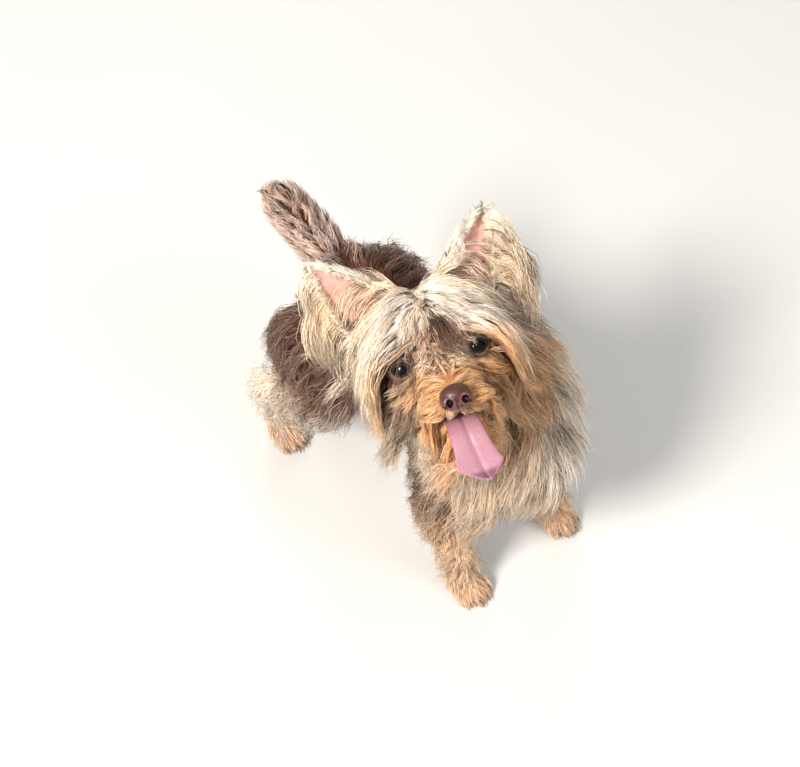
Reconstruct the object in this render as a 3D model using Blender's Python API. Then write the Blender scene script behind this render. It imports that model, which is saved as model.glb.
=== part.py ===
"""A standing Yorkshire terrier, life size, as a still museum model.

Metres, +Z up. The dog faces -Y, its right side is -X, and all four feet stand on z = 0.
The head has a frame of its own, with its origin midway between the fronts of the eyes, and is
placed by one matrix. Body and head are first modelled whole, then parted by thin cuts, and the
locks of the coat are fused to each part last.
"""

import math
from collections import namedtuple

import bmesh
import bpy
import numpy as np
from mathutils import Matrix, Vector
from mathutils.bvhtree import BVHTree

MM = 0.001
GAP = 0.3 * MM
RIGHT, LEFT = -1, 1

# Driving sizes of the dog, in metres
BACK_HEIGHT = 0.186
CHEST_HALF_WIDTH = 0.040
HEAD_AT = Vector((-0.0475, -0.0413, 0.2529))
HEAD_YAW = math.radians(-38.6)
HEAD_PITCH = math.radians(45.9)
HEAD_ROLL = math.radians(-12.1)

# Locks of hair: how deep a root sits, and the share of a lock's width at each ring from its root
ROOT_DEPTH = 2.5 * MM
WIDTH_ALONG = (0.62, 0.96, 1.00, 0.74)
# A lock's thickness and the distance between roots, as shares of its width
LOCK_THICKNESS = 0.15
LOCK_SPACING = 1.10
# The least distance from a lock to another node, from a root to another node, and to the floor
LOCK_GAP = 0.35 * MM
ROOT_GAP = 1.5 * MM
FLOOR_GAP = 1.5 * MM
# What is tried in turn to lay a lock clear of its neighbours: share of its length, higher tip
LOCK_TRIALS = [(share, extra * MM) for share in (1.0, 0.85, 0.7, 0.5) for extra in (0, 1.5, 3, 4.5)]
LOCK_TURNS = (0, 18, -18)
ROOT_DRAWS = 3000
# How close counts as one place
TOUCHING = 0.0005 * MM
# What counts as a scrap after a union: an edge this short, a fold this slight, each tried in turn
SCRAPS = [(0.03 * MM, 0.01), (0.01 * MM, 0.01), (0.03 * MM, 0.001), (0.003 * MM, 0.001)]
# The seed of each coat's random draws
SEEDS = {
    "foreleg_right": 11,
    "foreleg_left": 32,
    "hindleg_right": 13,
    "hindleg_left": 14,
    "tail": 15,
    "torso": 16,
    "neck": 17,
    "lower_jaw": 18,
    "head": 19,
}

EYE_SPACING = 0.036
EYE_RADIUS = 0.0080
EYE_DEPTH = 0.0070
EYE_SOCKET = 0.0088


def clear_scene():
    for obj in list(bpy.data.objects):
        bpy.data.objects.remove(obj)


def head_matrix():
    """Head frame to world: the nose looks along -Y before the turn."""
    yaw = Matrix.Rotation(HEAD_YAW, 4, "Z")
    pitch = Matrix.Rotation(-HEAD_PITCH, 4, "X")
    roll = Matrix.Rotation(HEAD_ROLL, 4, "Y")
    return Matrix.Translation(HEAD_AT) @ yaw @ pitch @ roll


def mesh_object(name, bm):
    mesh = bpy.data.meshes.new(name)
    bm.to_mesh(mesh)
    bm.free()
    obj = bpy.data.objects.new(name, mesh)
    bpy.context.scene.collection.objects.link(obj)
    return obj


def apply_modifiers(obj):
    graph = bpy.context.evaluated_depsgraph_get()
    mesh = bpy.data.meshes.new_from_object(obj.evaluated_get(graph))
    obj.modifiers.clear()
    old, obj.data = obj.data, mesh
    bpy.data.meshes.remove(old)
    return obj


def add_egg(bm, centre, radii, turn=(0, 0, 0), level=3):
    """An ellipsoid, turned by Euler angles in degrees."""
    angles = [math.radians(a) for a in turn]
    place = Matrix.Translation(centre) @ Matrix.Rotation(angles[2], 4, "Z")
    place = place @ Matrix.Rotation(angles[1], 4, "Y") @ Matrix.Rotation(angles[0], 4, "X")
    size = Matrix.Diagonal((*radii, 1))
    bmesh.ops.create_icosphere(bm, subdivisions=level, radius=1, matrix=place @ size)


def add_limb(bm, stations):
    """A rounded limb through stations (x, y, z, radius), as a run of close spheres."""
    for start, end in zip(stations, stations[1:]):
        a, b = np.array(start), np.array(end)
        steps = max(2, math.ceil(np.linalg.norm(b[:3] - a[:3]) / (0.35 * min(a[3], b[3]))))
        for k in range(steps + 1):
            x, y, z, r = a + (b - a) * k / steps
            add_egg(bm, (x, y, z), (r, r, r), level=2)


def mould(obj, voxel, smoothing, triangles):
    """Fuses overlapping pieces into one smooth closed skin of about that many triangles."""
    remesh = obj.modifiers.new("Fuse", "REMESH")
    remesh.mode = "VOXEL"
    remesh.voxel_size = voxel
    smooth = obj.modifiers.new("Smooth", "SMOOTH")
    smooth.factor = 0.5
    smooth.iterations = smoothing
    apply_modifiers(obj)
    reduce = obj.modifiers.new("Reduce", "DECIMATE")
    reduce.ratio = min(1.0, triangles / (2 * len(obj.data.polygons)))
    reduce.use_collapse_triangulate = True
    return apply_modifiers(obj)


def grown(obj, by):
    """A copy swollen along its normals, to cut a neighbour with a gap."""
    copy = obj.copy()
    copy.data = obj.data.copy()
    bpy.context.scene.collection.objects.link(copy)
    swell = copy.modifiers.new("Swell", "DISPLACE")
    swell.strength = by
    swell.mid_level = 0
    return apply_modifiers(copy)


def boolean(obj, other, operation, solver="MANIFOLD"):
    cut = obj.modifiers.new(operation, "BOOLEAN")
    cut.operation = operation
    cut.solver = solver
    cut.object = other
    return apply_modifiers(obj)


def keep_largest(obj):
    """Drops every closed shell but the largest."""
    bm = bmesh.new()
    bm.from_mesh(obj.data)
    bm.verts.ensure_lookup_table()
    seen, shells = set(), []
    for vert in bm.verts:
        if vert.index in seen:
            continue
        shell, edge = {vert}, [vert]
        while edge:
            for link in edge.pop().link_edges:
                for other in link.verts:
                    if other not in shell:
                        shell.add(other)
                        edge.append(other)
        seen |= {v.index for v in shell}
        shells.append(shell)
    shells.sort(key=len)
    bmesh.ops.delete(bm, geom=[v for s in shells[:-1] for v in s], context="VERTS")
    bm.to_mesh(obj.data)
    bm.free()
    return obj


def loose_parts(obj):
    """The separate shells of a mesh, each as its own object."""
    bpy.ops.object.select_all(action="DESELECT")
    obj.select_set(True)
    bpy.context.view_layer.objects.active = obj
    bpy.ops.mesh.separate(type="LOOSE")
    return list(bpy.context.selected_objects)


def slab(centre, normal, radius, thickness=GAP):
    """A thin round cutter across a limb."""
    bm = bmesh.new()
    turn = Vector(normal).to_track_quat("Z", "Y").to_matrix().to_4x4()
    place = Matrix.Translation(centre) @ turn
    bmesh.ops.create_cone(
        bm, cap_ends=True, segments=24, radius1=radius, radius2=radius, depth=thickness, matrix=place
    )
    return mesh_object("cutter", bm)


# The legs: (x, y, z, radius) from elbow or stifle down, one run for each
def foreleg(side, foot_x, foot_y):
    return [
        (side * 0.035, -0.036, 0.104, 0.014),
        (side * 0.038, -0.036, 0.088, 0.0125),
        ((side * 0.038 + foot_x) / 2, (foot_y - 0.030) / 2, 0.062, 0.0100),
        (foot_x, foot_y + 0.008, 0.034, 0.0085),
        (foot_x, foot_y + 0.003, 0.018, 0.0085),
    ]


def hindleg(side, foot_x, foot_y):
    return [
        (side * 0.034, 0.060, 0.104, 0.019),
        (side * 0.035, 0.066, 0.086, 0.0165),
        ((side * 0.036 + foot_x) / 2, (foot_y + 0.080) / 2, 0.068, 0.0120),
        (foot_x, foot_y + 0.013, 0.050, 0.0085),
        (foot_x, foot_y + 0.007, 0.028, 0.0080),
        (foot_x, foot_y + 0.003, 0.016, 0.0085),
    ]


FEET = {
    "forepaw_right": (-0.036, -0.060),
    "forepaw_left": (0.041, -0.068),
    "hindpaw_right": (-0.040, 0.106),
    "hindpaw_left": (0.014, 0.110),
}


def add_paw(bm, foot_x, foot_y):
    """The pad and four toes of one paw, toes towards -Y."""
    add_egg(bm, (foot_x, foot_y, 0.0080), (0.0112, 0.0135, 0.0115))
    for k, across in enumerate((-1.5, -0.5, 0.5, 1.5)):
        reach = 0.011 if k in (1, 2) else 0.007
        toe = (foot_x + across * 0.0058, foot_y - reach, 0.0050)
        add_egg(bm, toe, (0.0040, 0.0075, 0.0072), (-12, 0, 0), level=2)


NECK = [
    (0.000, -0.040, 0.150, 0.040),
    (-0.005, -0.038, 0.174, 0.036),
    (-0.011, -0.033, 0.194, 0.033),
    (-0.017, -0.028, 0.208, 0.030),
]
TAIL = [
    (0.000, 0.082, 0.166, 0.0150),
    (-0.003, 0.096, 0.184, 0.0110),
    (-0.007, 0.108, 0.198, 0.0090),
    (-0.011, 0.116, 0.211, 0.0065),
]


def body_whole():
    bm = bmesh.new()
    w = CHEST_HALF_WIDTH
    add_egg(bm, (0, -0.034, BACK_HEIGHT - 0.050), (w, 0.050, 0.050))
    add_egg(bm, (0, 0.018, BACK_HEIGHT - 0.045), (0.92 * w, 0.052, 0.044))
    add_egg(bm, (0, 0.060, BACK_HEIGHT - 0.041), (0.90 * w, 0.040, 0.040))
    add_egg(bm, (0, -0.062, BACK_HEIGHT - 0.054), (0.70 * w, 0.026, 0.036))
    for side in (RIGHT, LEFT):
        add_egg(bm, (side * 0.030, -0.042, 0.122), (0.017, 0.027, 0.038), (-18, 0, 0))
        add_egg(bm, (side * 0.030, 0.072, 0.120), (0.020, 0.033, 0.040), (14, 0, 0))
    for name, (x, y) in FEET.items():
        side = RIGHT if name.endswith("right") else LEFT
        leg = foreleg if name.startswith("fore") else hindleg
        add_limb(bm, leg(side, x, y))
        add_paw(bm, x, y)
    add_limb(bm, NECK)
    add_limb(bm, TAIL)
    body = mould(mesh_object("body", bm), 0.0026, 10, 2000)
    return boolean(body, floor_block(), "DIFFERENCE")


def floor_block():
    """Everything below the floor, which gives each paw its flat sole."""
    bm = bmesh.new()
    deep = 0.05
    size = Matrix.Diagonal((0.6, 0.6, deep, 1))
    bmesh.ops.create_cube(bm, size=1, matrix=Matrix.Translation((0, 0, -deep / 2)) @ size)
    return mesh_object("cutter", bm)


def body_cuts():
    """Where the body is parted: (centre, normal, radius of the cut)."""
    cuts = [
        ((0, -0.048, 0.168), (0, -0.457, 0.889), 0.066),
        ((-0.002, 0.090, 0.178), (-0.10, 0.60, 0.79), 0.024),
    ]
    for name, (x, y) in FEET.items():
        side = RIGHT if name.endswith("right") else LEFT
        if name.startswith("fore"):
            cuts.append(((side * 0.039, -0.040, 0.080), (0, 0, 1), 0.0190))
            cuts.append(((x, y + 0.007, 0.028), (0, 0.1, 1), 0.0150))
        else:
            cuts.append(((side * 0.041, 0.084, 0.078), (0, 0.1, 1), 0.040))
            cuts.append(((x, y + 0.011, 0.040), (0, 0.1, 1), 0.0150))
    return cuts


# A point inside each part of the body, which gives the part its name
def body_seeds():
    seeds = {"torso": (0, 0, 0.14), "neck": (-0.008, -0.04, 0.19), "tail": (-0.008, 0.112, 0.2)}
    for name, (x, y) in FEET.items():
        side = RIGHT if name.endswith("right") else LEFT
        seeds[name] = (x, y, 0.015)
        if name.startswith("fore"):
            seeds[name.replace("paw", "leg")] = ((side * 0.038 + x) / 2, (y - 0.03) / 2, 0.052)
        else:
            seeds[name.replace("paw", "leg")] = ((side * 0.036 + x) / 2, (y + 0.08) / 2, 0.062)
    return seeds


def centre_of(obj):
    points = [obj.matrix_world @ v.co for v in obj.data.vertices]
    return sum(points, Vector()) / len(points)


def part_body(body):
    """Cuts the whole body into its named nodes."""
    for centre, normal, radius in body_cuts():
        cutter = slab(centre, normal, radius)
        boolean(body, cutter, "DIFFERENCE")
        bpy.data.objects.remove(cutter)
    seeds = body_seeds()
    nodes = {}
    for piece in sorted(loose_parts(body), key=lambda o: -len(o.data.vertices)):
        centre = centre_of(piece)
        name = min(seeds, key=lambda s: (Vector(seeds[s]) - centre).length)
        if name in nodes:
            bpy.data.objects.remove(piece)
            continue
        piece.name = name
        nodes[name] = piece
    return nodes


def facing(side):
    """The way an eye looks, in the head frame."""
    return Vector((side * 0.30, -0.94, 0.12)).normalized()


def eye_centre(side):
    return Vector((side * EYE_SPACING / 2, EYE_DEPTH, 0))


def eyeball(side, radius, name, level=3):
    bm = bmesh.new()
    add_egg(bm, eye_centre(side), (radius,) * 3, level=level)
    return mesh_object(name, bm)


def eye_opening(side):
    """The almond that the lids leave open."""
    look = facing(side)
    bm = bmesh.new()
    turn = look.to_track_quat("-Y", "Z").to_matrix().to_4x4()
    place = Matrix.Translation(eye_centre(side) + look * 0.009) @ turn
    size = Matrix.Diagonal((0.0064, 0.0055, 0.0047, 1))
    bmesh.ops.create_icosphere(bm, subdivisions=2, radius=1, matrix=place @ size)
    return mesh_object("cutter", bm)


def head_whole():
    bm = bmesh.new()
    add_egg(bm, (0, 0.034, 0.006), (0.029, 0.035, 0.026))
    add_egg(bm, (0, 0.016, 0.008), (0.024, 0.020, 0.019))
    for side in (RIGHT, LEFT):
        add_egg(bm, (side * 0.018, 0.020, -0.010), (0.013, 0.022, 0.015))
        add_egg(bm, eye_centre(side) + Vector((0, 0.0010, 0)), (0.0108,) * 3)
        add_egg(bm, (side * 0.016, 0.008, 0.0090), (0.010, 0.009, 0.006))
        add_egg(bm, (side * 0.0075, -0.019, -0.0180), (0.0078, 0.012, 0.0072))
    muzzle = [(0, 0.006, -0.008, 0.0175), (0, -0.010, -0.0115, 0.0135), (0, -0.021, -0.0135, 0.0112)]
    add_limb(bm, muzzle)
    head = mould(mesh_object("head", bm), 0.0013, 7, 950)
    for side in (RIGHT, LEFT):
        for cutter in (eyeball(side, EYE_SOCKET, "cutter", level=2), eye_opening(side)):
            boolean(head, cutter, "DIFFERENCE")
            bpy.data.objects.remove(cutter)
    return head


JAW = [
    (0, 0.020, -0.023, 0.0120),
    (0, 0.004, -0.0305, 0.0105),
    (0, -0.010, -0.0355, 0.0088),
    (0, -0.018, -0.0380, 0.0075),
]


def jaw_whole():
    bm = bmesh.new()
    add_limb(bm, JAW)
    return mould(mesh_object("lower_jaw", bm), 0.0013, 6, 300)


def nose_pad():
    bm = bmesh.new()
    add_egg(bm, (0, -0.0315, -0.0125), (0.0084, 0.0062, 0.0060))
    add_egg(bm, (0, -0.0325, -0.0165), (0.0050, 0.0050, 0.0042))
    for side in (RIGHT, LEFT):
        add_egg(bm, (side * 0.0045, -0.0330, -0.0140), (0.0042, 0.0050, 0.0046))
    nose = mould(mesh_object("nose", bm), 0.0007, 4, 260)
    for side in (RIGHT, LEFT):
        bm = bmesh.new()
        add_egg(bm, (side * 0.0042, -0.0378, -0.0143), (0.0017, 0.0037, 0.0020), level=1)
        add_egg(bm, (side * 0.0070, -0.0365, -0.0158), (0.0024, 0.0030, 0.0009), (0, side * 25, 0), level=1)
        cutter = mesh_object("cutter", bm)
        boolean(nose, cutter, "DIFFERENCE")
        bpy.data.objects.remove(cutter)
    return nose


# The tongue from root to tip: (x, y, z, half width, half thickness)
TONGUE = [
    (0.0000, 0.0000, -0.0275, 0.0070, 0.0024),
    (0.0000, -0.0140, -0.0278, 0.0082, 0.0022),
    (0.0000, -0.0240, -0.0285, 0.0088, 0.0020),
    (0.0002, -0.0300, -0.0315, 0.0091, 0.0019),
    (0.0006, -0.0330, -0.0380, 0.0098, 0.0017),
    (0.0010, -0.0342, -0.0460, 0.0112, 0.0016),
    (0.0015, -0.0350, -0.0530, 0.0108, 0.0015),
    (0.0018, -0.0368, -0.0575, 0.0070, 0.0013),
    (0.0018, -0.0385, -0.0590, 0.0030, 0.0010),
]


def ribbon(name, stations, sides, cup, grow=0.0):
    """A flat bent bar along the stations, its upper face cupped; sides is the points round it."""
    bm = bmesh.new()
    rings = []
    centres = [Vector(s[:3]) for s in stations]
    for k, (x, y, z, half_width, half_thick) in enumerate(stations):
        along = (centres[min(k + 1, len(centres) - 1)] - centres[max(k - 1, 0)]).normalized()
        across = Vector((1, 0, 0))
        up = across.cross(along).normalized()
        centre = centres[k]
        if k in (0, len(stations) - 1):
            centre = centre + along * (grow if k else -grow)
        ring = []
        for j in range(sides):
            angle = 2 * math.pi * j / sides
            u, v = math.cos(angle), math.sin(angle)
            lift = cup * half_width * (abs(u) ** 1.5)
            offset = across * u * (half_width + grow) - up * (v * (half_thick + grow) + lift)
            ring.append(bm.verts.new(centre + offset))
        rings.append(ring)
    for low, high in zip(rings, rings[1:]):
        for j in range(sides):
            n = (j + 1) % sides
            bm.faces.new((low[j], low[n], high[n], high[j]))
    bm.faces.new(rings[0])
    bm.faces.new(rings[-1])
    bmesh.ops.recalc_face_normals(bm, faces=bm.faces)
    bmesh.ops.triangulate(bm, faces=bm.faces)
    return mesh_object(name, bm)


EAR_LENGTH = 0.046
EAR_HALF_WIDTH = 0.0165
EAR_THICKNESS = 0.0018


def ear_axes(side):
    base = Vector((side * 0.0235, 0.038, 0.022))
    tip = Vector((side * (0.050 if side == RIGHT else 0.046), 0.035, 0.064))
    along = (tip - base).normalized()
    look = Vector((side * 0.30, -1, 0.0))
    look = (look - along * look.dot(along)).normalized()
    return base, along, look, along.cross(look) * side


def ear_half_width(v):
    """Half the ear's width at v, from 0 at the base to 1 at the tip."""
    v = max(v, 0.0)
    return EAR_HALF_WIDTH * (1 - v ** 1.7) ** 0.9 + 0.0012


def ear_cup(v):
    """How deep the ear is cupped at v."""
    return 0.0095 * (1 - 0.75 * max(v, 0.0))


def ear_shell(side, name):
    """An upright ear: a pointed, forward-facing cup of even thickness."""
    base, along, look, across = ear_axes(side)
    rows, columns = 9, 8
    bm = bmesh.new()
    grid = []
    for i in range(rows + 1):
        v = -0.22 + 1.22 * i / rows
        cup = ear_cup(v)
        row = []
        for j in range(columns + 1):
            u = 2 * j / columns - 1
            point = base + along * EAR_LENGTH * v + across * ear_half_width(v) * u
            row.append(bm.verts.new(point - look * cup * (1 - u * u)))
        grid.append(row)
    for i in range(rows):
        for j in range(columns):
            bm.faces.new((grid[i][j], grid[i][j + 1], grid[i + 1][j + 1], grid[i + 1][j]))
    bmesh.ops.triangulate(bm, faces=bm.faces)
    ear = mesh_object(name, bm)
    thicken = ear.modifiers.new("Thickness", "SOLIDIFY")
    thicken.thickness = EAR_THICKNESS
    thicken.offset = 0
    apply_modifiers(ear)
    bm = bmesh.new()
    bm.from_mesh(ear.data)
    bmesh.ops.recalc_face_normals(bm, faces=bm.faces)
    bm.to_mesh(ear.data)
    bm.free()
    return ear


def cut_by(obj, *others, by=GAP):
    """Cuts obj clear of the others, with a gap."""
    for other in others:
        cutter = grown(other, by * 1.15)
        boolean(obj, cutter, "DIFFERENCE")
        bpy.data.objects.remove(cutter)
    return keep_largest(obj)


def head_nodes():
    """Every node of the head, in the head frame."""
    head = head_whole()
    jaw = jaw_whole()
    nose = nose_pad()
    tongue = ribbon("tongue", TONGUE, 12, -0.22)
    tongue_room = ribbon("cutter", TONGUE, 12, -0.22, grow=GAP)
    cut_by(head, nose)
    boolean(head, tongue_room, "DIFFERENCE")
    keep_largest(head)
    boolean(jaw, tongue_room, "DIFFERENCE")
    keep_largest(jaw)
    cut_by(jaw, head)
    bpy.data.objects.remove(tongue_room)
    nodes = {"head": head, "lower_jaw": jaw, "nose": nose, "tongue": tongue}
    for side, word in ((RIGHT, "right"), (LEFT, "left")):
        nodes[f"eye_{word}"] = eyeball(side, EYE_RADIUS, f"eye_{word}")
        ear = ear_shell(side, f"ear_{word}")
        nodes[f"ear_{word}"] = cut_by(ear, head)
    for obj in nodes.values():
        obj.data.transform(head_matrix())
    return nodes


# A lock's lie over the coat, its length, its width, how far its tip stands off, how much it sags
Lock = namedtuple("Lock", "lie length width rise sag")


def side_of(p):
    return LEFT if p.x > 0 else RIGHT


def torso_lock(p, n):
    """Parted along the spine, down the flanks and a little back."""
    side = side_of(p)
    if p.y < -0.062:
        return Lock(Vector((0.3 * side, -0.1, -1)), 0.034, 0.0180, 0.010, 0.3)
    if n.z < -0.55:
        return Lock(Vector((0.2 * side, 0.6, -0.6)), 0.022, 0.0200, 0.008, 0.5)
    lie = Vector((side * (0.10 + max(n.z, 0)), 0.38, -0.9))
    return Lock(lie, 0.045, 0.0210, 0.011, 0.3)


def neck_lock(p, n):
    """The ruff: down the neck and over the chest and the shoulders."""
    side = side_of(p)
    lie = Vector((0.25 * side, 0.25 if n.y > 0 else -0.2, -1))
    return Lock(lie, 0.038, 0.0165, 0.011, 0.3)


def leg_lock(p, n):
    if n.y > 0.35:
        return Lock(Vector((0, 0.35, -1)), 0.024, 0.0125, 0.006, 0.2)
    return Lock(Vector((0, 0.05, -1)), 0.022, 0.0130, 0.0045, 0.2)


def tail_lock(p, n):
    """A plume: along the tail to its tip, and out from it."""
    along = (Vector(TAIL[-1][:3]) - Vector(TAIL[0][:3])).normalized()
    return Lock(along + Vector((0, 0.25, -0.2)), 0.030, 0.0120, 0.012, 0.25)


def head_lock(p, n):
    """In the head frame: parted down the middle, over the cheeks, with a short face."""
    side = side_of(p)
    if min((p - eye_centre(s)).length for s in (RIGHT, LEFT)) < EYE_RADIUS + 0.0048:
        return None
    if n.z < -0.55 and abs(p.x) < 0.020 and p.y < 0.030:
        return None
    if p.y < -0.004:
        if p.y < -0.026 or (p.y < -0.018 and abs(p.x) < 0.006):
            return None
        if p.z < -0.011:
            return Lock(Vector((side * 0.60, 0.0, -1)), 0.034, 0.0090, 0.010, 0.1)
        return Lock(Vector((side, 0.25, -0.50)), 0.020, 0.0090, 0.006, 0.0)
    if p.y > 0.050:
        return Lock(Vector((0.45 * side, 0.4, -1)), 0.038, 0.0145, 0.010, 0.3)
    if p.z > 0.002:
        if abs(p.x) < 0.011 and p.y < 0.010:
            return Lock(Vector((0.8 * side, 0.1, -0.3)), 0.016, 0.0080, 0.004, 0.0)
        return Lock(Vector((side, 0.10, -0.55)), 0.040, 0.0120, 0.015, 0.15)
    return Lock(Vector((0.75 * side, 0.05, -1)), 0.040, 0.0115, 0.019, 0.15)


def jaw_lock(p, n):
    """The beard, in the head frame."""
    if n.z > 0.25:
        return None
    return Lock(Vector((0.70 * side_of(p), -0.10, -1)), 0.030, 0.0105, 0.008, 0.2)


def in_head(rule):
    """A rule of the head frame, for points of the world."""
    place = head_matrix()
    back = place.inverted()
    turn = place.to_3x3()

    def world_rule(p, n):
        lock = rule(back @ p, turn.inverted() @ n)
        return lock and lock._replace(lie=turn @ lock.lie)

    return world_rule


def sight_lines():
    """A search tree over what stays free of hair: the way out of each eye, in the world."""
    bm = bmesh.new()
    for side in (RIGHT, LEFT):
        look = facing(side)
        for reach in (0.010, 0.018):
            add_egg(bm, eye_centre(side) + look * reach, (0.0072,) * 3, level=2)
    bm.transform(head_matrix())
    tree = BVHTree.FromBMesh(bm)
    bm.free()
    return tree


def tree_of(objects):
    """One search tree over the faces of several objects."""
    bm = bmesh.new()
    for obj in objects:
        bm.from_mesh(obj.data)
    tree = BVHTree.FromBMesh(bm)
    bm.free()
    return tree


def lock_line(skin, root, normal, lock):
    """A lock's centre line from its sunk root to its tip, with the way up at each point."""
    points = [root - normal * ROOT_DEPTH]
    ups = [normal]
    here = root + normal * 0.2 * MM
    rings = len(WIDTH_ALONG)
    heading = (lock.lie - normal * lock.lie.dot(normal)).normalized()
    heading = (heading + normal * 0.35).normalized()
    for k in range(1, rings + 1):
        ahead = here + heading * lock.length / rings
        hit, up, _, _ = skin.find_nearest(ahead)
        room = lock.rise * k / rings
        if (ahead - hit).dot(up) < room:
            ahead = hit + up * room
        points.append(ahead)
        ups.append(up)
        flat = (lock.lie - up * lock.lie.dot(up)).normalized()
        heading = flat + (ahead - here).normalized() * 0.5 + Vector((0, 0, -lock.sag))
        heading.normalize()
        here = ahead
    return points, ups


def lock_mesh(line, width, grow=0.0):
    """A flat lock with a ridge: three-sided rings along its line, tapered to a point."""
    points, ups = line
    bm = bmesh.new()
    rings = []
    for k, share in enumerate(WIDTH_ALONG):
        along = (points[k + 1] - points[max(k - 1, 0)]).normalized()
        across = along.cross(ups[k]).normalized()
        up = across.cross(along)
        half = across * (width * share / 2 + grow)
        ridge = up * (width * LOCK_THICKNESS * share + grow)
        middle = points[k] - up * grow
        rings.append([bm.verts.new(q) for q in (middle + half, middle + ridge + up * grow, middle - half)])
    for low, high in zip(rings, rings[1:]):
        for j in range(3):
            n = (j + 1) % 3
            bm.faces.new((low[j], low[n], high[n]))
            bm.faces.new((low[j], high[n], high[j]))
    tip = bm.verts.new(points[-1] + (points[-1] - points[-2]).normalized() * 3 * grow)
    for j in range(3):
        bm.faces.new((rings[-1][j], rings[-1][(j + 1) % 3], tip))
    bm.faces.new(reversed(rings[0]))
    bmesh.ops.recalc_face_normals(bm, faces=bm.faces)
    return bm


def swollen_tree(line, width):
    """A search tree over a lock with the gap that it keeps to other nodes."""
    bm = lock_mesh(line, width, grow=LOCK_GAP)
    tree = BVHTree.FromBMesh(bm)
    bm.free()
    return tree


def scattered_roots(core, rule, others, rng):
    """Roots spread evenly over a core: random points, each kept if none is too near."""
    mesh = core.data
    mesh.calc_loop_triangles()
    areas = np.array([t.area for t in mesh.loop_triangles])
    picks = rng.choice(len(areas), size=ROOT_DRAWS, p=areas / areas.sum())
    weights = rng.dirichlet((1, 1, 1), size=len(picks))
    kept = []
    for pick, share in zip(picks, weights):
        triangle = mesh.loop_triangles[pick]
        corners = [mesh.vertices[i].co for i in triangle.vertices]
        p = sum((c * w for c, w in zip(corners, share)), Vector())
        lock = rule(p, triangle.normal)
        if lock is None or any((p - q[0]).length < LOCK_SPACING * lock.width for q in kept):
            continue
        if any(tree.find_nearest(p, ROOT_GAP)[0] for tree in others):
            continue
        kept.append((p, triangle.normal.copy(), lock))
    return kept


def place_lock(skin, root, normal, lock, others, placed):
    """The lock's line and tree, clear of the other nodes and over its neighbours; None if it can't be."""
    best = None
    for turn in LOCK_TURNS:
        lie = Matrix.Rotation(math.radians(turn), 3, normal) @ lock.lie
        for share, extra in LOCK_TRIALS:
            trial = lock._replace(lie=lie, length=lock.length * share, rise=lock.rise + extra)
            line = lock_line(skin, root, normal, trial)
            if min(p.z for p in line[0]) < FLOOR_GAP:
                continue
            tree = swollen_tree(line, trial.width)
            if any(tree.overlap(other) for other in others):
                continue
            near = [t for c, t in placed if (c - line[0][2]).length < lock.length]
            crossed = sum(1 for t in near if tree.overlap(t))
            if best is None or crossed < best[0]:
                best = (crossed, line, trial.width, tree)
            if crossed == 0:
                return best
        if best:
            return best
    return None


def sound(bm):
    """Whether a mesh is closed and touches itself along no edge."""
    places = {v: tuple(round(c / TOUCHING) for c in v.co) for v in bm.verts}
    edges = {frozenset(places[v] for v in e.verts) for e in bm.edges}
    apart = len(edges) == len(bm.edges) and all(len(e) == 2 for e in edges)
    return apart and all(len(e.link_faces) == 2 for e in bm.edges)


def drop_slivers(obj):
    """Merges short edges and the scraps of triangles that a union leaves, where that keeps it closed."""
    for short, flat in SCRAPS:
        bm = bmesh.new()
        bm.from_mesh(obj.data)
        bmesh.ops.collapse(bm, edges=[e for e in bm.edges if e.calc_length() < short])
        bmesh.ops.dissolve_limit(bm, angle_limit=flat, verts=bm.verts, edges=bm.edges)
        bmesh.ops.triangulate(bm, faces=bm.faces)
        kept = sound(bm)
        if kept:
            bm.to_mesh(obj.data)
        bm.free()
        if kept:
            break
    return obj


def union_all(core, bms):
    """Fuses closed pieces with a core, and keeps the largest closed surface."""
    group = bpy.data.collections.new("locks")
    bpy.context.scene.collection.children.link(group)
    for bm in bms:
        piece = mesh_object("lock", bm)
        bpy.context.scene.collection.objects.unlink(piece)
        group.objects.link(piece)
    fuse = core.modifiers.new("Fuse", "BOOLEAN")
    fuse.operation = "UNION"
    fuse.operand_type = "COLLECTION"
    fuse.collection = group
    fuse.solver = "MANIFOLD"
    apply_modifiers(core)
    for piece in list(group.objects):
        bpy.data.objects.remove(piece)
    bpy.data.collections.remove(group)
    return drop_slivers(keep_largest(core))


def add_coat(name, nodes, skin, rule):
    """Covers one node with locks that stay clear of every other node."""
    core = nodes[name]
    others = [tree_of([obj]) for other, obj in nodes.items() if other != name]
    others.append(sight_lines())
    rng = np.random.default_rng(SEEDS[name])
    roots = scattered_roots(core, rule, others, rng)
    placed, pieces = [], []
    for root, normal, lock in sorted(roots, key=lambda r: r[0].z):
        best = place_lock(skin, root, normal, lock, others, placed)
        if best:
            _, line, width, tree = best
            placed.append((line[0][2], tree))
            pieces.append(lock_mesh(line, width))
    union_all(core, pieces)


# The fringe of an ear: place along it, side (outer 1, inner -1), length, width
EAR_FRINGE = [
    (0.06, 1, 0.036, 0.0100),
    (0.24, 1, 0.036, 0.0100),
    (0.42, 1, 0.032, 0.0095),
    (0.60, 1, 0.026, 0.0085),
    (0.78, 1, 0.018, 0.0070),
    (0.30, -1, 0.020, 0.0090),
    (0.56, -1, 0.017, 0.0080),
    (0.80, -1, 0.013, 0.0065),
]


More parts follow.
